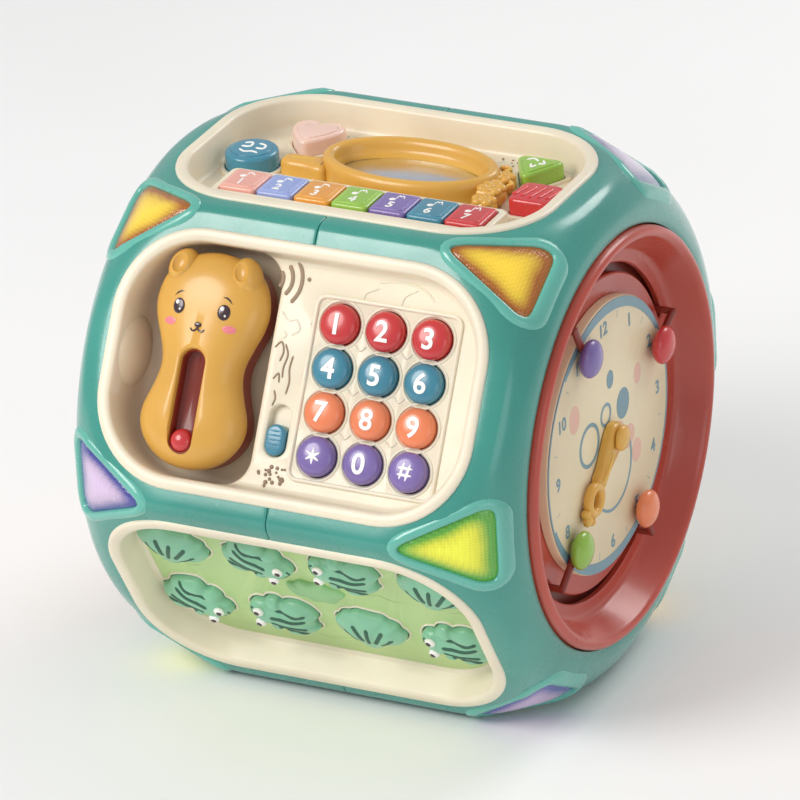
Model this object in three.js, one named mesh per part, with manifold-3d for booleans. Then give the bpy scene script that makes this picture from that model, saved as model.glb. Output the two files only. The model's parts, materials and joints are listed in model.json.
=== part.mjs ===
// Baby activity cube: a six-sided musical toy with a play panel on every side,
// a clock on one end, a drum on the other and a lift-out toy handset.
// Millimetres, +Z up, +X along the prism's axis towards the clock, -Y towards the handset side.
import * as THREE from 'three';
import { mergeVertices } from 'three/addons/utils/BufferGeometryUtils.js';
import Module from 'manifold-3d';

const wasm = await Module();
wasm.setup();

// ---------------------------------------------------------------- driving dimensions
const HEIGHT = 205;                   // across two opposite panel rims
const RIM_W = HEIGHT / 2;             // a rim's top, from the prism's axis
const END_X = 98;                     // the end rings' lips, from the middle
const SHELL_W = 101.2;                // a shell flat, from the axis
const SHELL_WALL = 2.8;
const SHELL_FILLET = 6;
const GAP = 0.3;                      // between pieces that touch
const SEAM = 0.15;                    // half the gap between the two shell halves
const SIDES = 6;

const PANEL = { hx: 79.5, hy: 50.5, corner: 36, flange: 3.3, rim: 5.3, wall: 2 };
const BARREL = [[48, 118], [66, 112], [80, 105.3], [89, 98.5], [95, 86]];
const LENS = { apexX: 52, baseX: 89, halfBase: 17.5, corner: 5, sink: 0.8, thick: 2.4 };
const RING = { outer: 83, wall: 2.4, lipX: END_X, floorX: 85, floorR: 71, hole: 40, skin: 2.5, skirtX: 79 };
const CARRIER = { inner: 84, outer: 95.5, x0: 84, x1: 87, tabWidth: 16, tabDepth: 6, tabW: 96.4 };
const SLOT = { r: 65, half: 2.5, start: [-28, 149], end: [68, 231] };

const TOP_DECK = 89.5;
const PHONE_PLATE = 93.5;
const POND_FLOOR = 90;
const BACK_FLOOR = 98.5;
const BASE_FLOOR = 99.5;
const CRADLE_FLOOR = 77;
const CRADLE_RIGHT = -14.5;
const STEM_W = 85;                    // the inner end of every button's stem
const REACH = 150;                    // longer than any part, for cutters

const COLOUR = {
  teal: 0x4a9e8e, cream: 0xf0e6cf, rose: 0xb95445, gold: 0xd7a246, terracotta: 0x9c3f2c,
  pink: 0xf0a59a, periwinkle: 0x93a3d8, orange: 0xe88f4e, lime: 0x9cc24a, purple: 0x8571ab,
  steelBlue: 0x4c8ba0, red: 0xc8423f, frog: 0x6db08f, glass: 0xd9d26a, grey: 0x8fa3ad,
  dial: 0xe3d3b6, green: 0x2f7d4f, dark: 0x2c2c30,
};

// ---------------------------------------------------------------- helpers
const rad = (degrees) => (degrees * Math.PI) / 180;

function solid(geometry) {
  const plain = geometry.clone();
  plain.deleteAttribute('normal');
  plain.deleteAttribute('uv');
  const merged = mergeVertices(plain, 1e-4);
  return new wasm.Manifold(new wasm.Mesh({
    numProp: 3,
    vertProperties: Float32Array.from(merged.attributes.position.array),
    triVerts: Uint32Array.from(merged.index.array),
  }));
}

function geometryOf(body) {
  const mesh = body.getMesh();
  const geometry = new THREE.BufferGeometry();
  geometry.setAttribute('position', new THREE.BufferAttribute(Float32Array.from(mesh.vertProperties), 3));
  geometry.setIndex(new THREE.BufferAttribute(Uint32Array.from(mesh.triVerts), 1));
  geometry.computeVertexNormals();
  return geometry;
}

function part(name, body, colour, roughness = 0.45, metalness = 0) {
  const geometry = body.isBufferGeometry ? body : geometryOf(body);
  const material = new THREE.MeshStandardMaterial({ color: colour, roughness, metalness });
  const mesh = new THREE.Mesh(geometry, material);
  mesh.name = name;
  return mesh;
}

const join = (bodies) => bodies.reduce((whole, body) => whole.add(body));
const cut = (body, cutters) => cutters.reduce((rest, cutter) => rest.subtract(cutter), body);

// An outline pushed along +Z from z0 to z1. Both its edges can be rounded.
function prism(shape, z0, z1, { round = 0, steps = 1, curve = 2, taper = round } = {}) {
  const geometry = new THREE.ExtrudeGeometry(shape, {
    depth: z1 - z0 - 2 * round, curveSegments: curve, bevelEnabled: round > 0,
    bevelThickness: round, bevelSize: taper, bevelOffset: -taper, bevelSegments: steps,
  });
  return solid(geometry.translate(0, 0, z0 + round));
}

function roundedRect(hx, hy, r, cx = 0, cy = 0) {
  const shape = new THREE.Shape();
  shape.absarc(cx + hx - r, cy + hy - r, r, 0, Math.PI / 2);
  shape.absarc(cx - hx + r, cy + hy - r, r, Math.PI / 2, Math.PI);
  shape.absarc(cx - hx + r, cy - hy + r, r, Math.PI, 1.5 * Math.PI);
  shape.absarc(cx + hx - r, cy - hy + r, r, 1.5 * Math.PI, 2 * Math.PI);
  shape.closePath();
  return shape;
}

function ellipse(rx, ry, cx = 0, cy = 0, sides = 16) {
  return new THREE.Shape(Array.from({ length: sides }, (_, i) => new THREE.Vector2(
    cx + rx * Math.cos((2 * Math.PI * i) / sides), cy + ry * Math.sin((2 * Math.PI * i) / sides))));
}

// A closed smooth outline through a few points.
function smooth(points, detail = 32) {
  const curve = new THREE.CatmullRomCurve3(points.map(([x, y]) => new THREE.Vector3(x, y, 0)), true);
  return new THREE.Shape(curve.getPoints(detail).slice(0, -1).map((p) => new THREE.Vector2(p.x, p.y)));
}

// Corners joined by straight sides, each corner rounded by the same radius.
function roundedPolygon(corners, r) {
  const shape = new THREE.Shape();
  corners.forEach((corner, i) => {
    const here = new THREE.Vector2(...corner);
    const before = new THREE.Vector2(...corners[(i + corners.length - 1) % corners.length]);
    const after = new THREE.Vector2(...corners[(i + 1) % corners.length]);
    const from = here.clone().add(before.sub(here).setLength(r));
    const to = here.clone().add(after.sub(here).setLength(r));
    if (i === 0) shape.moveTo(from.x, from.y);
    else shape.lineTo(from.x, from.y);
    shape.quadraticCurveTo(here.x, here.y, to.x, to.y);
  });
  shape.closePath();
  return shape;
}

// Local X, Y, Z turned to world Y, Z, X: an outline drawn in the end view, pushed along the axis.
const toAxis = new THREE.Matrix4().makeBasis(
  new THREE.Vector3(0, 1, 0), new THREE.Vector3(0, 0, 1), new THREE.Vector3(1, 0, 0));

function alongAxis(shape, x0, x1, curve = 2) {
  const geometry = new THREE.ExtrudeGeometry(shape, {
    depth: x1 - x0, bevelEnabled: false, curveSegments: curve });
  return solid(geometry.translate(0, 0, x0).applyMatrix4(toAxis));
}

// A profile of [radius, x] points turned about the prism's axis.
function turned(profile, segments = 64) {
  const points = profile.map(([r, x]) => new THREE.Vector2(r, x));
  const lathe = new THREE.LatheGeometry(points, segments);
  const basis = new THREE.Matrix4().makeBasis(
    new THREE.Vector3(0, 1, 0), new THREE.Vector3(1, 0, 0), new THREE.Vector3(0, 0, -1));
  return oriented(lathe.applyMatrix4(basis));
}

// A profile of [radius, z] points turned about local Z at (cx, cy).
function dome(profile, cx, cy, segments = 20) {
  const lathe = new THREE.LatheGeometry(profile.map(([r, z]) => new THREE.Vector2(r, z)), segments);
  return oriented(lathe.rotateX(Math.PI / 2).translate(cx, cy, 0));
}

// A solid with its faces turned outwards, whichever way its profile ran.
function oriented(geometry) {
  const plain = geometry.clone();
  plain.deleteAttribute('normal');
  plain.deleteAttribute('uv');
  const merged = mergeVertices(plain, 1e-4);
  const index = Array.from(merged.index.array);
  const at = (i) => new THREE.Vector3().fromBufferAttribute(merged.attributes.position, i);
  const kept = [];
  let volume = 0;
  for (let i = 0; i < index.length; i += 3) {
    const [a, b, c] = index.slice(i, i + 3);
    if (a === b || b === c || c === a) continue;
    volume += at(a).dot(at(b).cross(at(c)));
    kept.push([a, b, c]);
  }
  merged.setIndex(kept.flatMap(([a, b, c]) => (volume < 0 ? [a, c, b] : [a, b, c])));
  return solid(merged);
}

const box = (x0, x1, y0, y1, z0, z1) => solid(
  new THREE.BoxGeometry(x1 - x0, y1 - y0, z1 - z0)
    .translate((x0 + x1) / 2, (y0 + y1) / 2, (z0 + z1) / 2));

// ---------------------------------------------------------------- the six sides
// A side's own frame: X along the prism's axis, Y up its face, Z outwards from the axis.
const toy = new THREE.Group();
toy.position.z = RIM_W;

const SIDE_ANGLE = { top: 90, phone: 30, pond: -30, base: -90, backLower: -150, backUpper: 150 };
const sides = {};
for (const [name, angle] of Object.entries(SIDE_ANGLE)) {
  sides[name] = new THREE.Group();
  sides[name].rotation.x = rad(90 - angle);
  toy.add(sides[name]);
}

const trayOuter = (grow = 0) => roundedRect(
  PANEL.hx - PANEL.flange + grow, PANEL.hy - PANEL.flange + grow, PANEL.corner - PANEL.flange + grow);
const trayInner = (grow = 0) => roundedRect(
  PANEL.hx - PANEL.rim + grow, PANEL.hy - PANEL.rim + grow, PANEL.corner - PANEL.rim + grow);

// A panel moulded with its raised rim, its walls and a floor at height floorW.
function tray(floorW) {
  const rim = prism(roundedRect(PANEL.hx, PANEL.hy, PANEL.corner), SHELL_W + GAP, RIM_W, { round: 0.35 });
  const body = prism(trayOuter(), floorW - PANEL.wall, RIM_W - 0.5);
  return cut(rim.add(body), [prism(trayInner(), floorW, RIM_W + 1)]);
}

// ---------------------------------------------------------------- shell and windows
function hexagon(apothem, fillet) {
  const shape = new THREE.Shape();
  const centre = (apothem - fillet) / Math.cos(rad(30));
  for (let k = 0; k < SIDES; k += 1) {
    const middle = rad(60 * k);
    const at = [centre * Math.cos(middle), centre * Math.sin(middle)];
    shape.absarc(...at, fillet, middle - rad(30), middle + rad(30));
  }
  shape.closePath();
  return shape;
}

// The barrel that rounds the hexagon's corners off towards both ends.
function barrel(inset) {
  const half = BARREL.map(([x, r]) => [r - inset, x - (x > 90 ? inset : 0)]);
  const mirrored = half.map(([r, x]) => [r, -x]).reverse();
  return turned([[0, mirrored[0][1]], ...mirrored, ...half, [0, half[half.length - 1][1]]], 36);
}

const hull = (inset) => alongAxis(hexagon(SHELL_W - inset, SHELL_FILLET - inset / 2), -END_X, END_X, 2)
  .intersect(barrel(inset));

function lensOutline(grow) {
  const { apexX, baseX, halfBase, corner } = LENS;
  return roundedPolygon([
    [apexX - 2 * grow, 0], [baseX + grow, -halfBase - 1.5 * grow], [baseX + grow, halfBase + 1.5 * grow],
  ], corner);
}

const onFace = (k) => rad(60 * k);
const onCorner = (k) => rad(60 * k + 30);

// One window at each corner of one end, cut along the corner's own direction.
function windowPrisms(end, grow) {
  return Array.from({ length: SIDES }, (_, k) => {
    const cutter = new THREE.ExtrudeGeometry(lensOutline(grow), {
      depth: 45, bevelEnabled: false, curveSegments: 2 });
    cutter.translate(0, 0, 78);
    if (end < 0) cutter.rotateZ(Math.PI);
    return solid(cutter.rotateX(onCorner(k)));
  });
}

function shell() {
  const panelCuts = Array.from({ length: SIDES }, (_, k) => solid(
    new THREE.ExtrudeGeometry(trayOuter(GAP), { depth: 40, bevelEnabled: false, curveSegments: 3 })
      .translate(0, 0, 80).rotateX(onFace(k))));
  const openR = RING.outer + GAP;
  const ends = turned([[0, -END_X - 1], [openR, -END_X - 1], [openR, END_X + 1], [0, END_X + 1]], 36);
  const cutters = [...panelCuts, ...windowPrisms(1, 0), ...windowPrisms(-1, 0), ends];
  return cut(hull(0), [hull(SHELL_WALL), ...cutters]);
}

const wholeShell = shell();
const rightHalf = box(SEAM, REACH, -REACH, REACH, -REACH, REACH);
const leftHalf = box(-REACH, -SEAM, -REACH, REACH, -REACH, REACH);
toy.add(part('shell_right', wholeShell.intersect(rightHalf), COLOUR.teal, 0.35));
toy.add(part('shell_left', wholeShell.intersect(leftHalf), COLOUR.teal, 0.35));

// Six glowing windows of one end, moulded on a carrier ring that hides behind the end's bevel.
function lensRing(end) {
  const layer = cut(hull(LENS.sink), [hull(LENS.sink + LENS.thick)]);
  const windows = windowPrisms(end, -GAP).map((prismBody) => layer.intersect(prismBody));
  const { inner, outer, tabWidth, tabDepth, tabW } = CARRIER;
  const [x0, x1] = [CARRIER.x0 * end, CARRIER.x1 * end].sort((a, b) => a - b);
  const carrier = turned([[inner, x0], [outer, x0], [outer, x1], [inner, x1], [inner, x0]], 24);
  const tabs = Array.from({ length: SIDES }, (_, k) => solid(
    new THREE.BoxGeometry(x1 - x0, tabWidth, tabDepth)
      .translate((x0 + x1) / 2, 0, tabW).rotateX(onCorner(k))));
  return join([carrier, ...tabs, ...windows]);
}
toy.add(part('lens_ring_right', lensRing(1), COLOUR.glass, 0.3));
toy.add(part('lens_ring_left', lensRing(-1), COLOUR.glass, 0.3));

// ---------------------------------------------------------------- end rings
// Back of the floor, hollow under the lip, skirt, rounded lip, sloping inner wall and floor.
const ringBack = RING.floorX - RING.skin;
const ringProfile = [
  [RING.hole, ringBack], [72.3, ringBack], [78.6, 93.6], [RING.outer - RING.wall, 93.6],
  [RING.outer - RING.wall, RING.skirtX], [RING.outer, RING.skirtX], [RING.outer, 95],
  [82.2, 97.2], [80.4, RING.lipX], [78.6, 97.3], [72.6, 86.6], [RING.floorR, RING.floorX],
  [RING.hole, RING.floorX], [RING.hole, ringBack],
];

// A curved slot in the end view: angles run from straight up (+Z) towards +Y.
function arcSlot(start, end, r, half) {
  const shape = new THREE.Shape();
  const a0 = rad(90 - start);
  const a1 = rad(90 - end);
  const spot = (a, radius) => [radius * Math.cos(a), radius * Math.sin(a)];
  shape.moveTo(...spot(a0, r + half));
  shape.absarc(0, 0, r + half, a0, a1, true);
  shape.absarc(...spot(a1, r), half, a1, a1 - Math.PI, true);
  shape.absarc(0, 0, r - half, a1, a0, false);
  shape.absarc(...spot(a0, r), half, a0 + Math.PI, a0, true);
  return shape;
}

const slots = SLOT.start.map((start, i) => alongAxis(
  arcSlot(start, SLOT.end[i], SLOT.r, SLOT.half), RING.floorX - 5, RING.floorX + 3, 6));
toy.add(part('clock_ring', cut(turned(ringProfile, 36), slots), COLOUR.rose));
toy.add(part('drum_ring', turned(ringProfile.map(([r, x]) => [r, -x]), 36), COLOUR.rose));

const DIAL = { r: 55, back: RING.floorX + GAP, front: 89.5 };
toy.add(part('clock_dial', turned([
  [3.3, DIAL.back], [DIAL.r, DIAL.back], [DIAL.r, DIAL.front - 0.8], [DIAL.r - 0.8, DIAL.front],
  [3.3, DIAL.front], [3.3, DIAL.back]], 40), COLOUR.dial));
toy.add(part('hand_pivot', turned([
  [0, 83], [3, 83], [3, 94.8], [5.2, 94.8], [5.2, 96.2], [3.4, 97.4], [0, 97.6]], 16), COLOUR.gold, 0.35));
toy.add(part('drum_pad', turned([
  [0, -87.3], [62, -87.3], [62, -90.6], [60.6, -91.8], [0, -93]], 40), COLOUR.cream));

// The clock's hand points at handAngle, from straight up towards +Y.
const HAND = { angle: -131, length: 27, loop: 7.2, hub: 6.4, eye: 3.4, x0: 90, x1: 94.4 };
function clockHand() {
  const arm = roundedPolygon([[-4.6, 4], [4.6, 4], [3, HAND.length], [-3, HAND.length]], 1.5);
  const tip = roundedPolygon([[-4, HAND.length + 4], [4, HAND.length + 4], [0, HAND.length + 10.5]], 2);
  const flat = (shape) => solid(new THREE.ExtrudeGeometry(
    shape, { depth: HAND.x1 - HAND.x0, bevelEnabled: false, curveSegments: 3 }).translate(0, 0, HAND.x0));
  const loop = flat(ellipse(HAND.loop, HAND.loop, 0, HAND.length));
  const whole = join([flat(ellipse(HAND.hub, HAND.hub)), flat(arm), loop, flat(tip)]);
  const holes = [ellipse(HAND.eye, HAND.eye), ellipse(HAND.eye, HAND.eye, 0, HAND.length)].map(
    (shape) => prism(shape, HAND.x0 - 5, HAND.x1 + 5));
  const through = cut(whole, holes);
  return geometryOf(through).rotateZ(rad(-HAND.angle)).applyMatrix4(toAxis);
}
toy.add(part('clock_hand', clockHand(), COLOUR.gold, 0.35));

// Each bead slides round the dial on a foot in a slot, and a short arm carries it inwards.
const BEAD = { r: 48, radius: 8.5, back: 90, front: 97.7, armHalf: 2.4, armTop: 92.4 };
function clockBead(angle) {
  const foot = dome([[0, 79.6], [4, 79.6], [4, 81.8], [2.2, 81.8], [2.2, BEAD.armTop], [0, BEAD.armTop]],
    0, SLOT.r, 8);
  const armShape = roundedRect(BEAD.armHalf, (SLOT.r - BEAD.r) / 2 + BEAD.armHalf, BEAD.armHalf - 0.1,
    0, (SLOT.r + BEAD.r) / 2);
  const arm = prism(armShape, BEAD.back, BEAD.armTop);
  const knob = dome([[0, BEAD.back], [6.5, BEAD.back], [BEAD.radius, 93.8], [6.6, 96.8],
    [0, BEAD.front]], 0, BEAD.r, 14);
  return geometryOf(join([foot, arm, knob])).rotateZ(rad(-angle)).applyMatrix4(toAxis);
}
const BEADS = { purple: [-26, COLOUR.purple], red: [66, COLOUR.red], orange: [151, COLOUR.orange],
  green: [229, COLOUR.lime] };
for (const [name, [angle, colour]] of Object.entries(BEADS)) {
  toy.add(part(`clock_bead_${name}`, clockBead(angle), colour, 0.3));
}

// ---------------------------------------------------------------- phone side
const KEYPAD = { x: 32.5, y: -2.8, pitchX: 19.4, pitchY: 16.9, r: 7.9, top: 98.2 };
const keySpots = [0, 1, 2, 3].flatMap((row) => [0, 1, 2].map((column) => [
  KEYPAD.x + (column - 1) * KEYPAD.pitchX, KEYPAD.y - (row - 1.5) * KEYPAD.pitchY]));
const SLIDER = { x: -5.3, y: -21, halfWidth: 4.4, halfLength: 10, bed: 90 };
const CRADLE = { left: -PANEL.hx + PANEL.rim, halfHeight: PANEL.hy - PANEL.rim, corner: 10 };

function cradleOutline(grow) {
  const farLeft = roundedRect(
    PANEL.hx, CRADLE.halfHeight + grow, CRADLE.corner, CRADLE_RIGHT + grow - PANEL.hx);
  return prism(farLeft, CRADLE_FLOOR - 4, RIM_W + 2);
}

function phonePanel() {
  const wall = PANEL.wall;
  const cup = prism(trayInner(wall - 0.02), CRADLE_FLOOR - wall, PHONE_PLATE - 0.5)
    .intersect(cradleOutline(wall));
  const hollow = prism(trayInner(), CRADLE_FLOOR, RIM_W + 1).intersect(cradleOutline(0));
  const frame = roundedRect(31, 36, 3, KEYPAD.x, KEYPAD.y);
  frame.holes.push(roundedRect(29.6, 34.6, 2, KEYPAD.x, KEYPAD.y));
  const raised = prism(frame, PHONE_PLATE - 1, PHONE_PLATE + 1);
  const sliderBed = prism(roundedRect(SLIDER.halfWidth + 2, SLIDER.halfLength + 2, 6, SLIDER.x, SLIDER.y),
    SLIDER.bed - wall, PHONE_PLATE - 0.5);
  const sliderSlot = prism(roundedRect(SLIDER.halfWidth, SLIDER.halfLength, 4.3, SLIDER.x, SLIDER.y),
    SLIDER.bed, PHONE_PLATE + 2);
  const holes = keySpots.map(([x, y]) => prism(ellipse(KEYPAD.r + GAP, KEYPAD.r + GAP, x, y),
    PHONE_PLATE - 4, PHONE_PLATE + 1));
  return cut(join([tray(PHONE_PLATE), cup, raised, sliderBed]), [hollow, sliderSlot, ...holes]);
}
sides.phone.add(part('phone_panel', phonePanel(), COLOUR.cream));

const keyColours = [COLOUR.red, COLOUR.steelBlue, COLOUR.orange, COLOUR.purple];
keySpots.forEach(([x, y], i) => {
  const profile = [[0, STEM_W + 3], [KEYPAD.r, STEM_W + 3], [KEYPAD.r, 95.4], [KEYPAD.r - 1.8, 97.6],
    [0, KEYPAD.top]];
  const row = Math.floor(i / 3) + 1;
  const column = (i % 3) + 1;
  sides.phone.add(part(`keypad_r${row}_c${column}`, dome(profile, x, y, 14), keyColours[row - 1], 0.3));
});
sides.phone.add(part('volume_slider', prism(
  roundedRect(SLIDER.halfWidth - 0.4, 6, 3.9, SLIDER.x, SLIDER.y - 3.6), SLIDER.bed + GAP, 95.6,
  { round: 0.8 }), COLOUR.steelBlue));

// The handset lies in the cradle: a gold front half and a terracotta back half.
const HANDSET = { x: -41, back: CRADLE_FLOOR + GAP, split: 90, front: 104 };
function handsetOutline(inset) {
  const halfWidths = [[42, 0], [39.5, 12], [31, 20.8], [20, 23.2], [9, 20], [-1, 16.6], [-11, 18.4],
    [-21, 21.8], [-31, 19.4], [-38.5, 11.5], [-41.5, 0]];
  const pull = ([y, half]) => [Math.max(half - inset, 0), y - inset * Math.sign(y) * (half < 15 ? 1 : 0.3)];
  const right = halfWidths.map(pull);
  const left = right.slice(1, -1).reverse().map(([x, y]) => [-x, y]);
  return smooth([...right, ...left].map(([x, y]) => [HANDSET.x + x, y]), 36);
}
const HANDSET_SLOT = { y0: -31, y1: -1, half: 5.2, bed: 97.2 };
const EAR = { dx: 12.5, y: 34.4, rx: 5, ry: 7, back: 94.5, front: 101.5 };
function handsetFront() {
  const body = prism(handsetOutline(0), HANDSET.split + GAP, HANDSET.front,
    { round: 4.5, steps: 2, taper: 3.8 });
  const ears = [-EAR.dx, EAR.dx].map((dx) => prism(
    ellipse(EAR.rx, EAR.ry, HANDSET.x + dx, EAR.y, 10), EAR.back, EAR.front, { round: 2 }));
  const middle = (HANDSET_SLOT.y0 + HANDSET_SLOT.y1) / 2;
  const half = (HANDSET_SLOT.y1 - HANDSET_SLOT.y0) / 2 + HANDSET_SLOT.half;
  const groove = prism(roundedRect(HANDSET_SLOT.half, half, HANDSET_SLOT.half - 0.05, HANDSET.x, middle),
    HANDSET_SLOT.bed, HANDSET.front + 2);
  return cut(join([body, ...ears]), [groove]);
}
sides.phone.add(part('handset_front', handsetFront(), COLOUR.gold, 0.4));
sides.phone.add(part('handset_back', prism(handsetOutline(1.2), HANDSET.back, HANDSET.split,
  { round: 4, steps: 2, taper: 4 }), COLOUR.terracotta, 0.4));
sides.phone.add(part('handset_bead', dome([[0, 97.5], [4.4, 97.5], [4.7, 100], [3.6, 102.6], [0, 103.6]],
  HANDSET.x, HANDSET_SLOT.y0, 16), COLOUR.red, 0.25));

// ---------------------------------------------------------------- top side: piano, buttons and mirror
const PIANO = { keys: 7, pitch: 16, y0: -34, y1: -17, top: 98.5, gap: 0.6, housing: 96 };
const pianoColours = ['pink', 'periwinkle', 'orange', 'lime', 'purple', 'steelBlue', 'red'];

function heart(size) {
  return smooth([[0, 0.62], [0.5, 0.9], [1, 0.5], [0.82, -0.1], [0.35, -0.65], [0, -0.95], [-0.35, -0.65],
    [-0.82, -0.1], [-1, 0.5], [-0.5, 0.9]].map(([x, y]) => [x * size, y * size]), 20);
}
const shiftShape = (shape, x, y) => new THREE.Shape(
  shape.getPoints(2).map((p) => new THREE.Vector2(p.x + x, p.y + y)));
const TOP_BUTTONS = {
  round: { at: [-60, 3], outline: (g) => ellipse(10.6 + g, 10.6 + g, 0, 0, 24), colour: COLOUR.steelBlue },
  heart: { at: [-44.5, 26.5], outline: (g) => heart(10.8 + g), colour: COLOUR.pink },
  triangle: { at: [50.5, 25.5],
    outline: (g) => roundedPolygon(
      [[-11.5 - 1.6 * g, 9 + g], [0, -11.5 - 2 * g], [11.5 + 1.6 * g, 9 + g]], 5.5),
    colour: COLOUR.lime },
  ribbed: { at: [62, 3.5], outline: (g) => roundedRect(9 + g, 8.6 + g, 3 + g), colour: COLOUR.red },
};
const MIRROR = { x: 5, y: 11, rx: 37, ry: 21.5, inner: 6.5, top: 99.2 };

function topPanel() {
  const middle = (PIANO.y0 + PIANO.y1) / 2;
  const halfRun = (PIANO.keys * PIANO.pitch) / 2;
  const halfKey = (PIANO.y1 - PIANO.y0) / 2;
  const housing = prism(roundedRect(halfRun + 3.4, halfKey + 3.2, 3, 0, middle), TOP_DECK - 1, PIANO.housing);
  const well = prism(roundedRect(halfRun + GAP, halfKey + GAP, 1, 0, middle), TOP_DECK - 4,
    PIANO.housing + 1);
  const seats = Object.values(TOP_BUTTONS).map(({ at, outline }) => prism(
    shiftShape(outline(2), ...at), TOP_DECK - 1, TOP_DECK + 1.2));
  const holes = Object.values(TOP_BUTTONS).map(({ at, outline }) => prism(
    shiftShape(outline(GAP), ...at), TOP_DECK - 4, TOP_DECK + 3));
  return cut(join([tray(TOP_DECK), housing, ...seats]), [well, ...holes]);
}
sides.top.add(part('top_panel', topPanel(), COLOUR.cream));

pianoColours.forEach((colour, i) => {
  const x = (i - (PIANO.keys - 1) / 2) * PIANO.pitch;
  const key = roundedRect((PIANO.pitch - PIANO.gap) / 2, (PIANO.y1 - PIANO.y0) / 2, 1.2, x,
    (PIANO.y0 + PIANO.y1) / 2);
  sides.top.add(part(`piano_key_${i + 1}`, prism(key, STEM_W, PIANO.top, { round: 0.8, curve: 1 }),
    COLOUR[colour], 0.3));
});
for (const [name, { at, outline, colour }] of Object.entries(TOP_BUTTONS)) {
  sides.top.add(part(`top_button_${name}`, prism(shiftShape(outline(0), ...at), STEM_W, 97.2,
    { round: 1.2 }), colour, 0.3));
}

function mirrorFrame() {
  const { x, y, rx, ry, inner, top } = MIRROR;
  const back = TOP_DECK + GAP;
  const oval = prism(ellipse(rx, ry, x, y, 28), back, top, { round: 2.4, steps: 2 });
  const handle = prism(roundedRect(12, 4.6, 3.4, x - rx - 3.5, y - 7.5), back, 96.5, { round: 1.6 });
  const bows = [[43, 14, 5.6, 5], [43.5, 2, 6.4, 6.2], [44.5, -7.8, 6, 5.2]].map(([cx, cy, ax, ay]) => prism(
    ellipse(ax, ay, cx, cy), back, top - 1, { round: 2 }));
  const link = prism(roundedRect(5, 10, 3, 41, 2), back, 95.5);
  const hole = prism(ellipse(rx - inner, ry - inner, x, y, 28), back - 2, top + 2);
  return cut(join([oval, handle, link, ...bows]), [hole]);
}
sides.top.add(part('mirror_frame', mirrorFrame(), COLOUR.gold, 0.35));
sides.top.add(part('mirror_plate', prism(
  ellipse(MIRROR.rx - MIRROR.inner - GAP, MIRROR.ry - MIRROR.inner - GAP, MIRROR.x, MIRROR.y, 28),
  TOP_DECK + GAP, 92.2), COLOUR.grey, 0.05, 1));

// ---------------------------------------------------------------- pond side: eight press-down creatures
const POND = { pitch: 37.3, rowY: 19.5, rx: 15.6, ry: 12, top: 97 };
const pondSpots = [1, -1].flatMap((row) => [-1.5, -0.5, 0.5, 1.5].map((column) => [
  column * POND.pitch, row * POND.rowY - (Math.abs(column) > 1 ? row * 1.5 : 0)]));

function pondPanel() {
  const hump = prism(ellipse(12, 6.2), POND_FLOOR - 1, POND_FLOOR + 3, { round: 1.5 });
  const holes = pondSpots.map(([x, y]) => prism(ellipse(POND.rx + GAP, POND.ry + GAP, x, y),
    POND_FLOOR - 4, POND_FLOOR + 1));
  return cut(tray(POND_FLOOR).add(hump), holes);
}
sides.pond.add(part('pond_panel', pondPanel(), COLOUR.cream));
pondSpots.forEach(([x, y], i) => {
  const row = i < 4 ? 'upper' : 'lower';
  const creature = prism(ellipse(POND.rx, POND.ry, x, y), STEM_W, POND.top, { round: 3.6 });
  sides.pond.add(part(`pond_button_${row}_${(i % 4) + 1}`, creature, COLOUR.frog, 0.35));
});

// ---------------------------------------------------------------- unseen sides
// Upper back: a finger-tracing groove that winds across the panel.
function tracingPanel() {
  const turns = [[-58, -14], [-44, 18], [-24, -16], [0, 18], [24, -16], [44, 18], [58, -14]];
  const path = new THREE.CatmullRomCurve3(turns.map(([x, y]) => new THREE.Vector3(x, y, BACK_FLOOR)));
  const section = new THREE.Shape().absarc(0, 0, 4, 0, 2 * Math.PI);
  const groove = oriented(new THREE.ExtrudeGeometry(section, {
    steps: 44, extrudePath: path, bevelEnabled: false, curveSegments: 2 }));
  const thickFloor = prism(trayInner(0.5), BACK_FLOOR - 7, BACK_FLOOR - 1);
  return cut(tray(BACK_FLOOR).add(thickFloor), [groove]);
}
sides.backUpper.add(part('tracing_panel', tracingPanel(), COLOUR.cream));

// Lower back: raised shapes to feel.
function shapesPanel() {
  const star = new THREE.Shape(Array.from({ length: 10 }, (_, i) => {
    const r = i % 2 ? 6.5 : 13.5;
    return new THREE.Vector2(54 + r * Math.sin(rad(36 * i)), r * Math.cos(rad(36 * i)));
  }).reverse());
  const shapes = [ellipse(12, 12, -54, 0), roundedRect(11, 11, 2.5, -18, 0),
    roundedPolygon([[5, -10.5], [31, -10.5], [18, 12.5]], 3), star];
  const raised = shapes.map((shape) => prism(shape, BACK_FLOOR - 1, BACK_FLOOR + 2.6));
  return join([tray(BACK_FLOOR), ...raised]);
}
sides.backLower.add(part('shapes_panel', shapesPanel(), COLOUR.cream));

// Base: battery box with its door, and a grille over the speaker.
const BATTERY = { x: -24, hx: 36, hy: 27, deep: 22 };
const SPEAKER = { x: 46, r: 20 };
const DOOR = { hx: BATTERY.hx - 2 - GAP, hy: BATTERY.hy - 2 - GAP };
const BATTERY_BED = BASE_FLOOR - BATTERY.deep;

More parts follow.
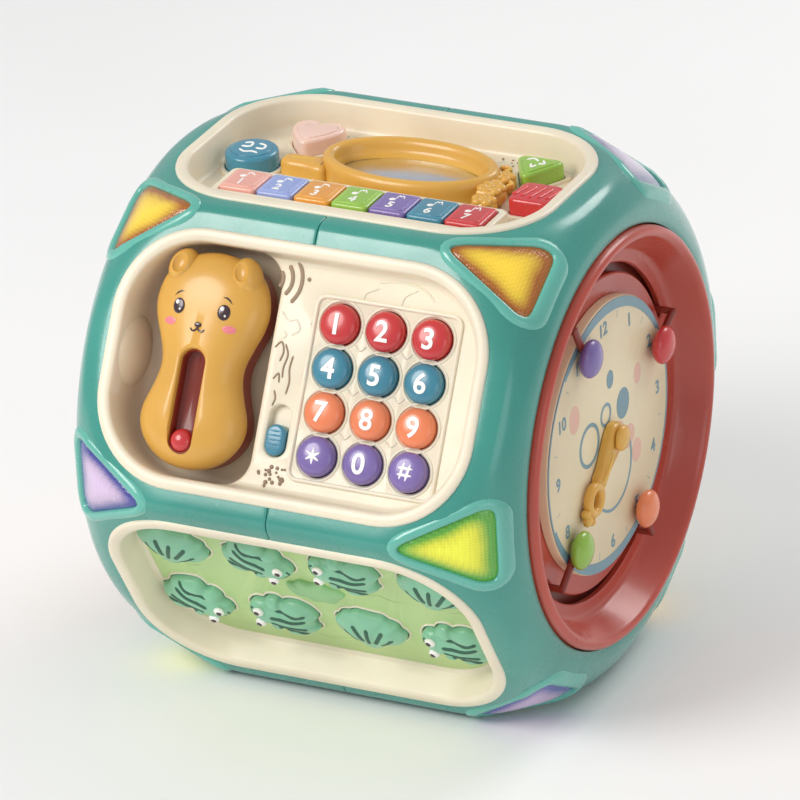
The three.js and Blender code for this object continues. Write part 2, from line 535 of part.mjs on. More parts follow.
function basePanel() {
  const boxOuter = prism(roundedRect(BATTERY.hx, BATTERY.hy, 3, BATTERY.x, 0), BATTERY_BED - PANEL.wall,
    BASE_FLOOR - 1);
  const boxInner = prism(roundedRect(BATTERY.hx - 2, BATTERY.hy - 2, 2, BATTERY.x, 0), BATTERY_BED,
    BASE_FLOOR + 1);
  const grille = [-2, -1, 0, 1, 2].map((i) => {
    const half = Math.sqrt((SPEAKER.r - 3) ** 2 - (6 * i) ** 2);
    return prism(roundedRect(1.5, half, 1.4, SPEAKER.x + 6 * i, 0), BASE_FLOOR - 5, BASE_FLOOR + 2);
  });
  return cut(tray(BASE_FLOOR).add(boxOuter), [boxInner, ...grille]);
}
sides.base.add(part('base_panel', basePanel(), COLOUR.cream));
sides.base.add(part('battery_door', prism(
  roundedRect(DOOR.hx, DOOR.hy, 1.7, BATTERY.x, 0), BASE_FLOOR - 2.2, BASE_FLOOR + 0.6), COLOUR.cream));

const coneTop = BASE_FLOOR - PANEL.wall - GAP;
sides.base.add(part('speaker', dome([[0, 84], [9, 84], [9, 88], [SPEAKER.r, 93.5], [SPEAKER.r, coneTop],
  [0, coneTop]], SPEAKER.x, 0, 20), COLOUR.dark));

// The circuit board hangs under the battery box, with a chip and a connector on its inner face.
const boardW = BATTERY_BED - PANEL.wall - GAP;
sides.base.add(part('main_board', join([
  box(BATTERY.x - 34, BATTERY.x + 34, -24, 24, boardW - 1.6, boardW),
  box(BATTERY.x - 12, BATTERY.x + 2, -7, 7, boardW - 4, boardW - 1),
  box(BATTERY.x + 12, BATTERY.x + 24, 8, 18, boardW - 6, boardW - 1),
]), COLOUR.green));

export default toy;
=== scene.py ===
"""Baby activity cube: the looks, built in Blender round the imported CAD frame.

The pieces are drawn in millimetres in a side's own frame: u along the prism's axis, v up the side's face
and w outwards from the axis. A side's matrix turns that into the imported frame's metres. The floor, the lights
and the camera are in metres.
"""
import json
import math

import bmesh
import bpy
import numpy as np
from mathutils import Matrix, Vector

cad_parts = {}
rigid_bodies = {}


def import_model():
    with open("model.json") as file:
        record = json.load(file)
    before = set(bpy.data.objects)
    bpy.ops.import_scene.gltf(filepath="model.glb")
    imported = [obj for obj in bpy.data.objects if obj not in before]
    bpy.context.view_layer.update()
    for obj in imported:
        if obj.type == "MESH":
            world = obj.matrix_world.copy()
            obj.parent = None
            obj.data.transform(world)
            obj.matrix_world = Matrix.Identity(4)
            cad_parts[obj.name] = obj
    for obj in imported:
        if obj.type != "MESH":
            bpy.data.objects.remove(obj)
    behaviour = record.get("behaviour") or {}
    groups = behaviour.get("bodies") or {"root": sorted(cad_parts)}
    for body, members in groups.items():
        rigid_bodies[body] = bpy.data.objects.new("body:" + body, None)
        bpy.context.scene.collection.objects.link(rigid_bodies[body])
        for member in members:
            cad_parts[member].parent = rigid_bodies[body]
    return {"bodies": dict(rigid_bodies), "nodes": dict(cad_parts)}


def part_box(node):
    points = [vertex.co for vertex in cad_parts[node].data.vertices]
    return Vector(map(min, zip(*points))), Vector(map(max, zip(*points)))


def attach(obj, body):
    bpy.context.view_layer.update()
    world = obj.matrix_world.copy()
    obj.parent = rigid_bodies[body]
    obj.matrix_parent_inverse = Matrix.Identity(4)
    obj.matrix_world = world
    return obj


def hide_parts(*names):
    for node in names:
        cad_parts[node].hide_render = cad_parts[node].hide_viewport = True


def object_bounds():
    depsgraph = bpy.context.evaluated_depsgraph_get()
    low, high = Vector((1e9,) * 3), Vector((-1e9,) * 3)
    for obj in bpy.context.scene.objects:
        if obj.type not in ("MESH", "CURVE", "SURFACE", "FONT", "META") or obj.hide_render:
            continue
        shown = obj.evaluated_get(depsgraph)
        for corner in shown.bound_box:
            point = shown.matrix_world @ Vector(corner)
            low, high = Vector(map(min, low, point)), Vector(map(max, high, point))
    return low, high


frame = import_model()
cad_low, cad_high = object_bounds()

MM = 0.001
# Points of one piece that are closer than this are merged, in millimetres.
MERGE = 1e-4
ROOT = "body"
AXIS_Z = (cad_low.z + cad_high.z) / 2
RIM_W = (cad_high.z - cad_low.z) / 2 / MM

# --- frames of the sides and ends
SIDE_ANGLE = {"top": 90, "phone": 30, "pond": -30, "base": -90, "shapes": -150, "tracing": 150}


def side_matrix(angle):
    turn = math.radians(90 - angle)
    return Matrix.Translation((0, 0, AXIS_Z)) @ Matrix.Rotation(turn, 4, "X") @ Matrix.Scale(MM, 4)


TOP, PHONE, POND, BASE, SHAPES, TRACING = (side_matrix(angle) for angle in SIDE_ANGLE.values())


def axes_matrix(x, y, z):
    turn = Matrix((x, y, z)).transposed().to_4x4()
    return Matrix.Translation((0, 0, AXIS_Z)) @ turn @ Matrix.Scale(MM, 4)


# Seen from outside each end: u to the right, v up, w outwards.
CLOCK_END = axes_matrix((0, 1, 0), (0, 0, 1), (1, 0, 0))
DRUM_END = axes_matrix((0, -1, 0), (0, 0, 1), (-1, 0, 0))


def local_box(node, matrix):
    """Lowest and highest corner of a CAD node, in millimetres in a side's or end's own frame."""
    inverse = matrix.inverted()
    points = np.array([inverse @ v.co for v in frame["nodes"][node].data.vertices])
    return points.min(0), points.max(0)


def local_centre(node, matrix):
    low, high = local_box(node, matrix)
    return (low + high)[:2] / 2


def heights(node, matrix):
    low, high = local_box(node, matrix)
    return low[2], high[2]


# --- outlines
def direction(degrees):
    return np.array([math.cos(math.radians(degrees)), math.sin(math.radians(degrees))])


def rotated(points, degrees):
    c, s = direction(degrees)
    return np.array(points) @ np.array([[c, s], [-s, c]])


def unit(vectors):
    return vectors / (np.linalg.norm(vectors, axis=-1, keepdims=True) + 1e-9)


def arc(cx, cy, r, start, end, steps):
    angles = np.radians(np.linspace(start, end, steps))
    return np.stack([cx + r * np.cos(angles), cy + r * np.sin(angles)], 1)


def rounded(x0, x1, y0, y1, radii, steps=10):
    """A rectangle with its own radius at each corner: right top, left top, left bottom, right bottom."""
    a, b, c, d = [max(r, 0.05) for r in radii]
    return np.concatenate([
        arc(x1 - a, y1 - a, a, 0, 90, steps), arc(x0 + b, y1 - b, b, 90, 180, steps),
        arc(x0 + c, y0 + c, c, 180, 270, steps), arc(x1 - d, y0 + d, d, 270, 360, steps)])


def rrect(hx, hy, r, cx=0.0, cy=0.0, steps=10):
    return rounded(cx - hx, cx + hx, cy - hy, cy + hy, [r] * 4, steps)


def ellipse(rx, ry, cx=0.0, cy=0.0, steps=48):
    angles = np.linspace(0, 2 * math.pi, steps, endpoint=False)
    return np.stack([cx + rx * np.cos(angles), cy + ry * np.sin(angles)], 1)


def circle(r, cx=0.0, cy=0.0, steps=48):
    return ellipse(r, r, cx, cy, steps)


def catmull_rom(padded, per):
    """The curve through every point but the first and the last."""
    steps = (np.arange(per) / per)[:, None]
    spans = [0.5 * (2 * b + (c - a) * steps + (2 * a - 5 * b + 4 * c - d) * steps ** 2
                    + (3 * b - a - 3 * c + d) * steps ** 3)
             for a, b, c, d in zip(padded, padded[1:], padded[2:], padded[3:])]
    return np.concatenate(spans)


def smooth_loop(points, per=8):
    """A smooth closed curve through the points."""
    p = np.array(points, float)
    return catmull_rom(np.concatenate([p[-1:], p, p[:2]]), per)


def smooth_path(points, per=6):
    """A smooth open curve through the points."""
    p = np.array(points, float)
    return np.concatenate([catmull_rom([2 * p[0] - p[1], *p, 2 * p[-1] - p[-2]], per), p[-1:]])


def offset(outline, distance):
    """The outline moved outwards by distance along its own normals. It runs anticlockwise."""
    tangent = np.roll(outline, -1, 0) - np.roll(outline, 1, 0)
    return outline + unit(np.stack([tangent[:, 1], -tangent[:, 0]], 1)) * distance


def rounded_polygon(corners, r, per=8):
    """Straight sides with each corner rounded by a quadratic curve of reach r."""
    p = np.array(corners, float)
    out = []
    for i, here in enumerate(p):
        a = here + unit(p[i - 1] - here) * r
        b = here + unit(p[(i + 1) % len(p)] - here) * r
        out += [(1 - t) ** 2 * a + 2 * t * (1 - t) * here + t * t * b for t in np.linspace(0, 1, per)]
    return np.array(out)


def middle_of(outline):
    return (outline.max(0) + outline.min(0)) / 2


def resized(outline, by):
    """The outline scaled about its middle, so that its mean radius changes by this much."""
    middle = middle_of(outline)
    radius = np.linalg.norm(outline - middle, axis=1).mean()
    return middle + (outline - middle) * (1 + by / radius)


def at(outline, w):
    """The outline as a ring of points at height w."""
    return np.column_stack([outline, np.full(len(outline), float(w))])


# --- solids
# How far the foot of a raised line, and of a dot or a numeral, is sunk into its surface.
SINK, FOOT = 0.4, 0.3
# The thinnest radius of a turned profile, and the share of its width that a raised line keeps at its ends.
POINT = 0.02
STROKE_TIP = 0.35
# The angle from a ball's pole at which its small cap starts.
BALL_CAP = 0.06


def skin(rings, bm=None, closed=False):
    """Quads between successive rings of points. Ends are capped, unless the rings close on themselves."""
    bm = bm or bmesh.new()
    made = [[bm.verts.new(p) for p in ring] for ring in rings]
    for lower, upper in zip(made, made[1:] + made[:closed]):
        for i in range(len(lower)):
            j = (i + 1) % len(lower)
            bm.faces.new((lower[i], lower[j], upper[j], upper[i]))
    if not closed:
        bm.faces.new(made[0][::-1])
        bm.faces.new(made[-1])
    return bm


def loft(outline_at, profile, bm=None, closed=False):
    """A solid from a stack of rings. profile lists (value, height); outline_at(value) gives the outline."""
    return skin([at(outline_at(value), w) for value, w in profile], bm, closed)


def crown(outline, profile):
    """A solid over an outline: profile lists (scale about the outline's centre, height)."""
    middle = outline.mean(0)
    return loft(lambda share: middle + (outline - middle) * share, profile)


def lathe(profile, cx=0.0, cy=0.0, steps=48, bm=None, closed=False):
    """A profile of (radius, height) turned about w at (cx, cy)."""
    return loft(lambda r: circle(max(r, POINT), cx, cy, steps), profile, bm, closed)


def quarter(steps):
    """Shares inwards and downwards from a sharp edge, along a quarter circle."""
    return [(1 - math.cos(a), 1 - math.sin(a)) for a in np.linspace(0, math.pi / 2, steps)]


def eased(outline, base, top, ease, shrink=offset, steps=6):
    """A solid over an outline with its top edge rounded by ease; shrink(outline, by) narrows it."""
    return skin([at(outline, base)]
                + [at(shrink(outline, -ease * x), top - ease * y) for x, y in quarter(steps)])


def dot(r, surface, rise, side, steps, cx, cy, around, bm=None):
    """A small dome on a surface: a straight side, then a quarter ellipse up to the rise."""
    angles = np.linspace(0, math.pi / 2, steps)
    dome = [(r * math.cos(a), surface + side + (rise - side) * math.sin(a)) for a in angles[:-1]]
    return lathe([(r, surface - FOOT), *dome, (0.1, surface + rise)], cx, cy, around, bm)


def ball(centre, radii, bm=None, steps=24, rows=12, tilt=0.0):
    """An ellipsoid, turned by tilt degrees about w."""
    rx, ry, rw = radii
    rings = []
    pole = math.pi / 2 - BALL_CAP
    for a in np.linspace(-pole, pole, rows):
        flat = rotated(ellipse(rx * math.cos(a), ry * math.cos(a), steps=steps), tilt)
        rings.append(at(flat + centre[:2], centre[2] + rw * math.sin(a)))
    return skin(rings, bm)


def ridge(outline_at, width, height, base, bm=None):
    """A rounded raised line that follows a closed outline; outline_at(offset) gives it."""
    profile = [(-1, -SINK), (-1, height * 0.45), (-0.6, height * 0.9), (0, height), (0.6, height * 0.9),
               (1, height * 0.45), (1, -SINK)]
    return loft(outline_at, [(width / 2 * share, base + h) for share, h in profile], bm, closed=True)


def stroke(points, width, height, base, bm=None, sides=7):
    """A rounded raised line along a path, with pointed ends. base is a height or a function of (x, y)."""
    path = np.array(points, float)
    tangent = unit(np.gradient(path, axis=0))
    rings = []
    for i, (p, (tx, ty)) in enumerate(zip(path, tangent)):
        end = STROKE_TIP if i in (0, len(path) - 1) else 1.0
        ring = []
        for a in np.linspace(0, 2 * math.pi, sides, endpoint=False):
            x, y = p + np.array([-ty, tx]) * (width / 2 * end * math.cos(a))
            ring.append((x, y, (base(x, y) if callable(base) else base) + height * end * math.sin(a)))
        rings.append(ring)
    return skin(rings, bm)


def strokes(lines, width, height, base, bm=None, per=6):
    """Raised lines that are smoothed before they are drawn, as one solid."""
    bm = bm or bmesh.new()
    for line in lines:
        stroke(smooth_path(line, per), width, height, base, bm)
    return bm


def tube(points, radius, sides):
    """A round tube along a path in space."""
    path = np.array(points, float)
    tangent = unit(np.gradient(path, axis=0))
    side = unit(np.cross(tangent, (0, 0, 1)))
    up = np.cross(side, tangent)
    turns = [direction(a) for a in np.linspace(0, 360, sides, endpoint=False)]
    return skin([[p + radius * (s * c + u * d) for c, d in turns] for p, s, u in zip(path, side, up)])


def new_object(name, data):
    obj = bpy.data.objects.new(name, data)
    bpy.context.scene.collection.objects.link(obj)
    return obj


def new_mesh(name, bm, matrix):
    """A mesh from a bmesh in a side's own frame. The bmesh is used up."""
    bmesh.ops.remove_doubles(bm, verts=bm.verts, dist=MERGE)
    bmesh.ops.recalc_face_normals(bm, faces=bm.faces)
    bm.transform(matrix)
    mesh = bpy.data.meshes.new(name)
    bm.to_mesh(mesh)
    bm.free()
    return mesh


def evaluated_mesh(obj):
    """The object's mesh with its modifiers applied."""
    bpy.context.view_layer.update()
    return bpy.data.meshes.new_from_object(obj.evaluated_get(bpy.context.evaluated_depsgraph_get()))


def smooth_shading(mesh, angle):
    mesh.shade_smooth()
    mesh.set_sharp_from_angle(angle=math.radians(angle))


# The size that numerals are drawn at before they are scaled, and the longest edge left as a share of height.
FONT_SIZE = 10
LONGEST_EDGE = 0.2


def numeral(text, height, depth, centre, base, bm=None, bold=0.02):
    """Plain numerals as a solid that stands on a surface; base(x, y) gives the surface's height."""
    bm = bm or bmesh.new()
    curve = bpy.data.curves.new("numeral", "FONT")
    curve.body = text
    curve.size = FONT_SIZE
    curve.offset = bold * FONT_SIZE
    curve.extrude = 0.5
    curve.resolution_u = 5
    letters = new_object("numeral", curve)
    glyph = bmesh.new()
    glyph.from_mesh(evaluated_mesh(letters))
    bpy.data.objects.remove(letters)
    bmesh.ops.remove_doubles(glyph, verts=glyph.verts, dist=MERGE)
    points = np.array([v.co.xy for v in glyph.verts])
    middle, scale = Vector(middle_of(points)), height / np.ptp(points[:, 1])
    for v in glyph.verts:
        v.co.xy = (v.co.xy - middle) * scale
    bmesh.ops.triangulate(glyph, faces=glyph.faces)
    for _ in range(3):
        bmesh.ops.dissolve_degenerate(glyph, dist=1e-3, edges=glyph.edges)
        limit = height * LONGEST_EDGE
        long_edges = [e for e in glyph.edges if (e.verts[0].co.xy - e.verts[1].co.xy).length > limit]
        bmesh.ops.subdivide_edges(glyph, edges=long_edges, cuts=1)
        bmesh.ops.triangulate(glyph, faces=glyph.faces)
    for v in glyph.verts:
        x, y = v.co.xy + Vector(centre)
        v.co = (x, y, base(x, y) + (depth if v.co.z > 0 else -FOOT))
    part = bpy.data.meshes.new("numeral")
    glyph.to_mesh(part)
    glyph.free()
    bm.from_mesh(part)
    return bm


def carve(obj, cutters, matrix, operation="DIFFERENCE", angle=50, self_crossing=False):
    """Cuts solids out of a piece, or joins them to it, and keeps the result as its mesh."""
    tools = [new_object("cutter", new_mesh("cutter", bm, matrix)) for bm in cutters]
    for tool in tools:
        modifier = obj.modifiers.new("cut", "BOOLEAN")
        modifier.operation = operation
        modifier.solver = "EXACT"
        modifier.object = tool
        modifier.use_self = self_crossing
    obj.data = evaluated_mesh(obj)
    obj.modifiers.clear()
    for tool in tools:
        bpy.data.objects.remove(tool)
    smooth_shading(obj.data, angle)
    if not obj.data.polygons:
        raise RuntimeError(f"{obj.name} vanished when it was cut")


# --- materials
def linear(rgb, factor=1.0):
    """A colour of 0 to 255 in Blender's linear values, lighter or darker by factor."""
    shaded = [min(255, c * factor) for c in rgb]
    return [((c / 255 + 0.055) / 1.055) ** 2.4 if c > 10 else c / 255 / 12.92 for c in shaded] + [1.0]


def fill(tree, node, inputs):
    """Sets a node's inputs by name. A socket is linked, and anything else is a fixed value."""
    for name, value in inputs.items():
        if isinstance(value, bpy.types.NodeSocket):
            tree.links.new(value, node.inputs[name])
        else:
            node.inputs[name].default_value = value


def make_node(tree, kind, inputs):
    node = tree.nodes.new("ShaderNode" + kind)
    fill(tree, node, inputs)
    return node


def new_material(name):
    material = bpy.data.materials.new(name)
    material.use_nodes = True
    tree = material.node_tree
    return material, tree, tree.nodes["Principled BSDF"]


def position(tree):
    return tree.nodes.new("ShaderNodeTexCoord").outputs["Object"]


def noise(tree, scale, detail=3.0):
    return make_node(tree, "TexNoise",
                     {"Scale": scale, "Detail": detail, "Vector": position(tree)}).outputs["Fac"]


def ramp(tree, source, stops):
    node = make_node(tree, "ValToRGB", {"Fac": source})
    elements = node.color_ramp.elements
    while len(elements) < len(stops):
        elements.new(0.5)
    for element, (place, colour) in zip(elements, stops):
        element.position = place
        element.color = colour
    return node.outputs["Color"]


def remap(tree, source, low, high, from_low=0.3, from_high=0.7):
    return make_node(tree, "MapRange", {"Value": source, "From Min": from_low, "From Max": from_high,
                                        "To Min": low, "To Max": high}).outputs["Result"]


def mix(tree, a, b, amount, blend="MIX"):
    """Two colours mixed. Each is a socket or a fixed colour."""
    node = tree.nodes.new("ShaderNodeMix")
    node.data_type = "RGBA"
    node.blend_type = blend
    fill(tree, node, {"A": a, "B": b, "Factor": amount})
    return node.outputs["Result"]


def bump(tree, source, strength, distance):
    return make_node(tree, "Bump",
                     {"Strength": strength, "Distance": distance, "Height": source}).outputs["Normal"]


def plastic(name, rgb, rough, coat, depth, peel):
    """Moulded ABS: colour that drifts a little, sharply curved edges a little paler, uneven gloss and orange
    peel.
    """
    material, tree, shader = new_material(name)
    drift = ramp(tree, noise(tree, 22.0), [
        (0.3, linear(rgb, 0.955)), (0.52, linear(rgb)), (0.75, linear(rgb, 1.035))])
    pointed = tree.nodes.new("ShaderNodeNewGeometry").outputs["Pointiness"]
    edges = remap(tree, pointed, 0.0, 0.35, 0.52, 0.62)
    fill(tree, shader, {
        "Base Color": mix(tree, drift, linear(rgb, 1.25), edges),
        "Roughness": remap(tree, noise(tree, 60.0, 4.0), rough - 0.05, rough + 0.08),
        "Normal": bump(tree, noise(tree, 900.0, 4.0), peel, 0.0002),
        "Coat Weight": coat, "Coat Roughness": 0.14,
        "Subsurface Weight": depth, "Subsurface Scale": 0.002})
    return material


def lens_material(name, middle, edge, glow):
    """Tinted translucent lens with a grid of tiny prisms inside, brighter where the lamp sits behind it."""
    material, tree, shader = new_material(name)
    spread = tree.nodes.new("ShaderNodeAttribute")
    spread.attribute_name = "spread"
    prisms = make_node(tree, "TexVoronoi", {"Scale": 850.0, "Randomness": 0.12, "Vector": position(tree)})
    prism = prisms.outputs["Distance"]
    uneven = tree.nodes.new("ShaderNodeMath")
    uneven.operation = "MULTIPLY_ADD"
    uneven.inputs[1].default_value = 0.55
    tree.links.new(noise(tree, 45.0, 2.0), uneven.inputs[0])
    tree.links.new(spread.outputs["Fac"], uneven.inputs[2])
    fade = uneven.outputs["Value"]
    tint = ramp(tree, fade, [(0.3, linear(middle)), (0.62, linear(middle, 0.93)), (1.0, linear(edge))])
    dots = ramp(tree, prism, [(0.0, (1, 1, 1, 1)), (0.8, (0.6, 0.6, 0.6, 1))])
    colour = mix(tree, tint, dots, remap(tree, fade, 0.35, 1.0, 0.4, 1.0), "MULTIPLY")
    fill(tree, shader, {"Base Color": colour, "Emission Color": colour, "Emission Strength": glow,
                        "Roughness": 0.22, "Coat Weight": 0.6, "Normal": bump(tree, prism, 0.5, 0.0004)})
    return material


def metal(name, dark, light, smoothest, roughest):
    material, tree, shader = new_material(name)
    tint = ramp(tree, noise(tree, 30.0), [(0.3, linear(dark)), (0.7, linear(light))])
    rough = remap(tree, noise(tree, 140.0, 4.0), smoothest, roughest)
    fill(tree, shader, {"Base Color": tint, "Metallic": 1.0, "Roughness": rough})
    return material


# Each look: its slot in the record, colour, roughness, coat, depth under the skin and orange peel.
PLASTICS = {
    "teal": ("teal_shell", (58, 149, 135), 0.26, 0.6, 0.08, 0.18),
    # The shell's teal made paler for the raised lens surrounds: a painted highlight.
    "teal_painted_highlight": ("teal_shell", (96, 178, 162), 0.26, 0.6, 0.08, 0.16),
    "cream": ("cream_panel", (237, 225, 200), 0.38, 0.2, 0.15, 0.25),
    "rose": ("rose_ring", (184, 70, 52), 0.32, 0.35, 0.06, 0.2),
    "gold": ("gold_trim", (222, 168, 72), 0.34, 0.35, 0.12, 0.2),
    "terracotta": ("terracotta", (132, 44, 28), 0.38, 0.25, 0.04, 0.2),
    "red": ("red_key", (204, 52, 54), 0.26, 0.5, 0.1, 0.12),
    "steel_blue": ("steel_blue_key", (62, 134, 158), 0.26, 0.5, 0.1, 0.12),
    "orange": ("orange_key", (238, 134, 88), 0.26, 0.5, 0.12, 0.12),
    "piano_orange": ("orange_key", (230, 156, 56), 0.26, 0.5, 0.12, 0.12),
    "purple": ("purple_key", (126, 106, 170), 0.26, 0.5, 0.1, 0.12),
    "lime": ("lime_key", (146, 190, 66), 0.26, 0.5, 0.12, 0.12),
    "pink": ("pink_key", (238, 170, 154), 0.28, 0.45, 0.15, 0.12),
    "peach": ("pink_key", (242, 204, 188), 0.28, 0.45, 0.15, 0.12),
    "periwinkle": ("periwinkle_key", (148, 164, 216), 0.28, 0.45, 0.12, 0.12),
    "white": ("cream_panel", (248, 246, 240), 0.4, 0.1, 0.0, 0.1),
    # Taupe is partly painted shade: raised lines that stand in for grooves on the phone's plate, and dots
    # packed by the deck's back wall. It is also the colour of a few printed dots and of the deck's own stipple.
    "taupe_shade_and_print": ("cream_panel", (146, 124, 100), 0.5, 0.05, 0.0, 0.15),
    "frog": ("pond_green", (138, 199, 164), 0.34, 0.35, 0.3, 0.2),
    "frog_dark": ("pond_green", (44, 92, 72), 0.5, 0.1, 0.0, 0.2),
    "pond": ("pond_green", (184, 212, 144), 0.42, 0.2, 0.1, 0.25),
    "pond_leaf": ("pond_green", (150, 198, 140), 0.4, 0.25, 0.1, 0.25),
    "dial": ("dial_print", (230, 208, 172), 0.45, 0.15, 0.08, 0.15),
    "dial_blue": ("dial_print", (112, 142, 152), 0.45, 0.15, 0.0, 0.15),
    "dial_pink": ("dial_print", (222, 172, 152), 0.45, 0.15, 0.0, 0.15),
    "ink": ("speaker_black", (58, 34, 40), 0.2, 0.6, 0.0, 0.05),
    "blush": ("pink_key", (236, 130, 140), 0.4, 0.2, 0.0, 0.1),
    "black": ("speaker_black", (30, 30, 33), 0.55, 0.0, 0.0, 0.3),
    "board": ("board_green", (44, 108, 72), 0.4, 0.3, 0.0, 0.4),
}
# Each lens: the colour over its lamp, the colour at its edge and its glow.
LENSES = {
    "glow_yellow": ((246, 206, 58), (172, 98, 26), 0.3),
    "glow_lime": ((230, 230, 56), (92, 166, 58), 0.34),
    "glow_lilac": ((226, 214, 232), (150, 156, 186), 0.2),
    "glow_purple": ((206, 182, 216), (66, 74, 156), 0.22),
}
LOOKS = {look: (slot, plastic(look, *values)) for look, (slot, *values) in PLASTICS.items()}
LOOKS |= {look: ("lens_tint", lens_material(look, *values)) for look, values in LENSES.items()}
LOOKS["mirror"] = ("mirror_silver", metal("mirror", (214, 222, 232), (236, 240, 246), 0.16, 0.26))
LOOKS["screw"] = ("mirror_silver", metal("screw", (150, 152, 158), (182, 184, 188), 0.25, 0.4))


def add(name, bm, matrix, look, body=None, angle=50, replaces=()):
    """A piece from a bmesh in a side's own frame.

    One with a CAD node's name stands for that node. One with a CAD body's name rides on that body, and others
    ride on the casing unless body says otherwise.
    """
    slot, material = LOOKS[look]
    obj = new_object(name, new_mesh(name, bm, matrix))
    obj.data.materials.append(material)
    smooth_shading(obj.data, angle)
    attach(obj, body or (name if name in frame["bodies"] else ROOT))
    stands_for = [name] if name in frame["nodes"] else replaces
    if stands_for:
        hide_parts(*stands_for)
    return obj


# --- shell
SHELL_FLAT = (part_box("shell_right")[1].z - AXIS_Z) / MM
SHELL_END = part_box("shell_right")[1].x / MM
SHELL_WALL = 2.4
CORNER_FILLET = 6.0
CORNER_W = cad_high.y / MM
HALF_SECTOR = math.radians(30)
# Towards its ends the hexagon is cut by a barrel, given as (x, radius), and the two blend softly.
BARREL = smooth_path([(44, 118.2), (48, 118), (57, 115.6), (66, 112), (74, 108.6), (80, 105.3), (85, 102),
                      (89, 98.5), (92.3, 94), (94.3, 89.5), (SHELL_END, 86)], 4)
BARREL_BLEND = 4.0
# From here on, the shell's rows are the barrel's own points.
BARREL_ROWS = 85
PANEL_X, PANEL_Y = local_box("pond_panel", POND)[1][:2]
PANEL_CORNER = 36.0
# The shell runs under a panel's rim, and its opening for a lens is a little larger than the lens.
PANEL_LAP, LENS_MARGIN = 1.6, 0.8
LENS = rounded_polygon([(50.5, 0), (89.5, -18.5), (89.5, 18.5)], 9.0, 9)
# The look of the right and the left end's lens at each corner of the hexagon, by the corner's angle.
LENS_LOOKS = {60: ("glow_yellow", "glow_yellow"), 0: ("glow_lime", "glow_purple"),
              -60: ("glow_purple", "glow_lime"), -120: ("glow_yellow", "glow_lilac"),
              180: ("glow_lime", "glow_yellow"), 120: ("glow_lilac", "glow_lime")}


def barrel(x):
    return np.interp(x, BARREL[:, 0], BARREL[:, 1])


def shell_radius(delta, most):
    """The rounded hexagon's radius, delta radians from its nearest corner, kept under the barrel's radius."""
    delta = np.abs(delta)
    centre = (SHELL_FLAT - CORNER_FILLET) / math.cos(HALF_SECTOR)
    tangent = math.atan2(CORNER_FILLET * math.sin(HALF_SECTOR),
                         centre + CORNER_FILLET * math.cos(HALF_SECTOR))
    under_root = CORNER_FILLET ** 2 - (centre * np.sin(delta)) ** 2
    corner = centre * np.cos(delta) + np.sqrt(np.maximum(under_root, 0))
    hexagon = np.where(delta < tangent, corner, SHELL_FLAT / np.cos(HALF_SECTOR - delta))
    near = np.maximum(BARREL_BLEND - np.abs(hexagon - most), 0) / BARREL_BLEND
    return np.minimum(hexagon, most) - near * near * BARREL_BLEND / 4


# The rounds that settle a point's angle on the shell, and the step to its neighbours for the normal.
SURFACE_STEPS = 6
NORMAL_STEP = 0.4


def shell_points(u, v):
    """The shell's points at (u, v) of a corner's own frame."""
    delta = np.zeros_like(v)
    for _ in range(SURFACE_STEPS):
        delta = np.arcsin(np.clip(v / shell_radius(delta, barrel(u)), -1, 1))
    return np.stack([u, v, shell_radius(delta, barrel(u)) * np.cos(delta)], 1)


def on_shell(outline, height, sign):
    """An outline in a corner's own frame, moved on to the shell and out along its normal; sign is the end."""
    u, v = outline.T
    along = shell_points(u + NORMAL_STEP, v) - shell_points(u - NORMAL_STEP, v)
    across = shell_points(u, v + NORMAL_STEP) - shell_points(u, v - NORMAL_STEP)
    return (shell_points(u, v) + unit(np.cross(along, across)) * height) * np.array([sign, 1, 1])


def panel_outline(inset, steps=10):
    """A panel rim's outline, or one parallel to it further in."""
    return rrect(PANEL_X - inset, PANEL_Y - inset, PANEL_CORNER - inset, steps=steps)


def inside(x, y, outline):
    """Whether each point lies in a closed outline, by counting crossings."""
    a, b = outline, np.roll(outline, -1, 0)
    crossing = (a[:, 1] > y[:, None]) != (b[:, 1] > y[:, None])
    rise = np.where(b[:, 1] == a[:, 1], 1, b[:, 1] - a[:, 1])
    left_of = x[:, None] < a[:, 0] + (b[:, 0] - a[:, 0]) * (y[:, None] - a[:, 1]) / rise
    return np.count_nonzero(crossing & left_of, axis=1) % 2 == 1


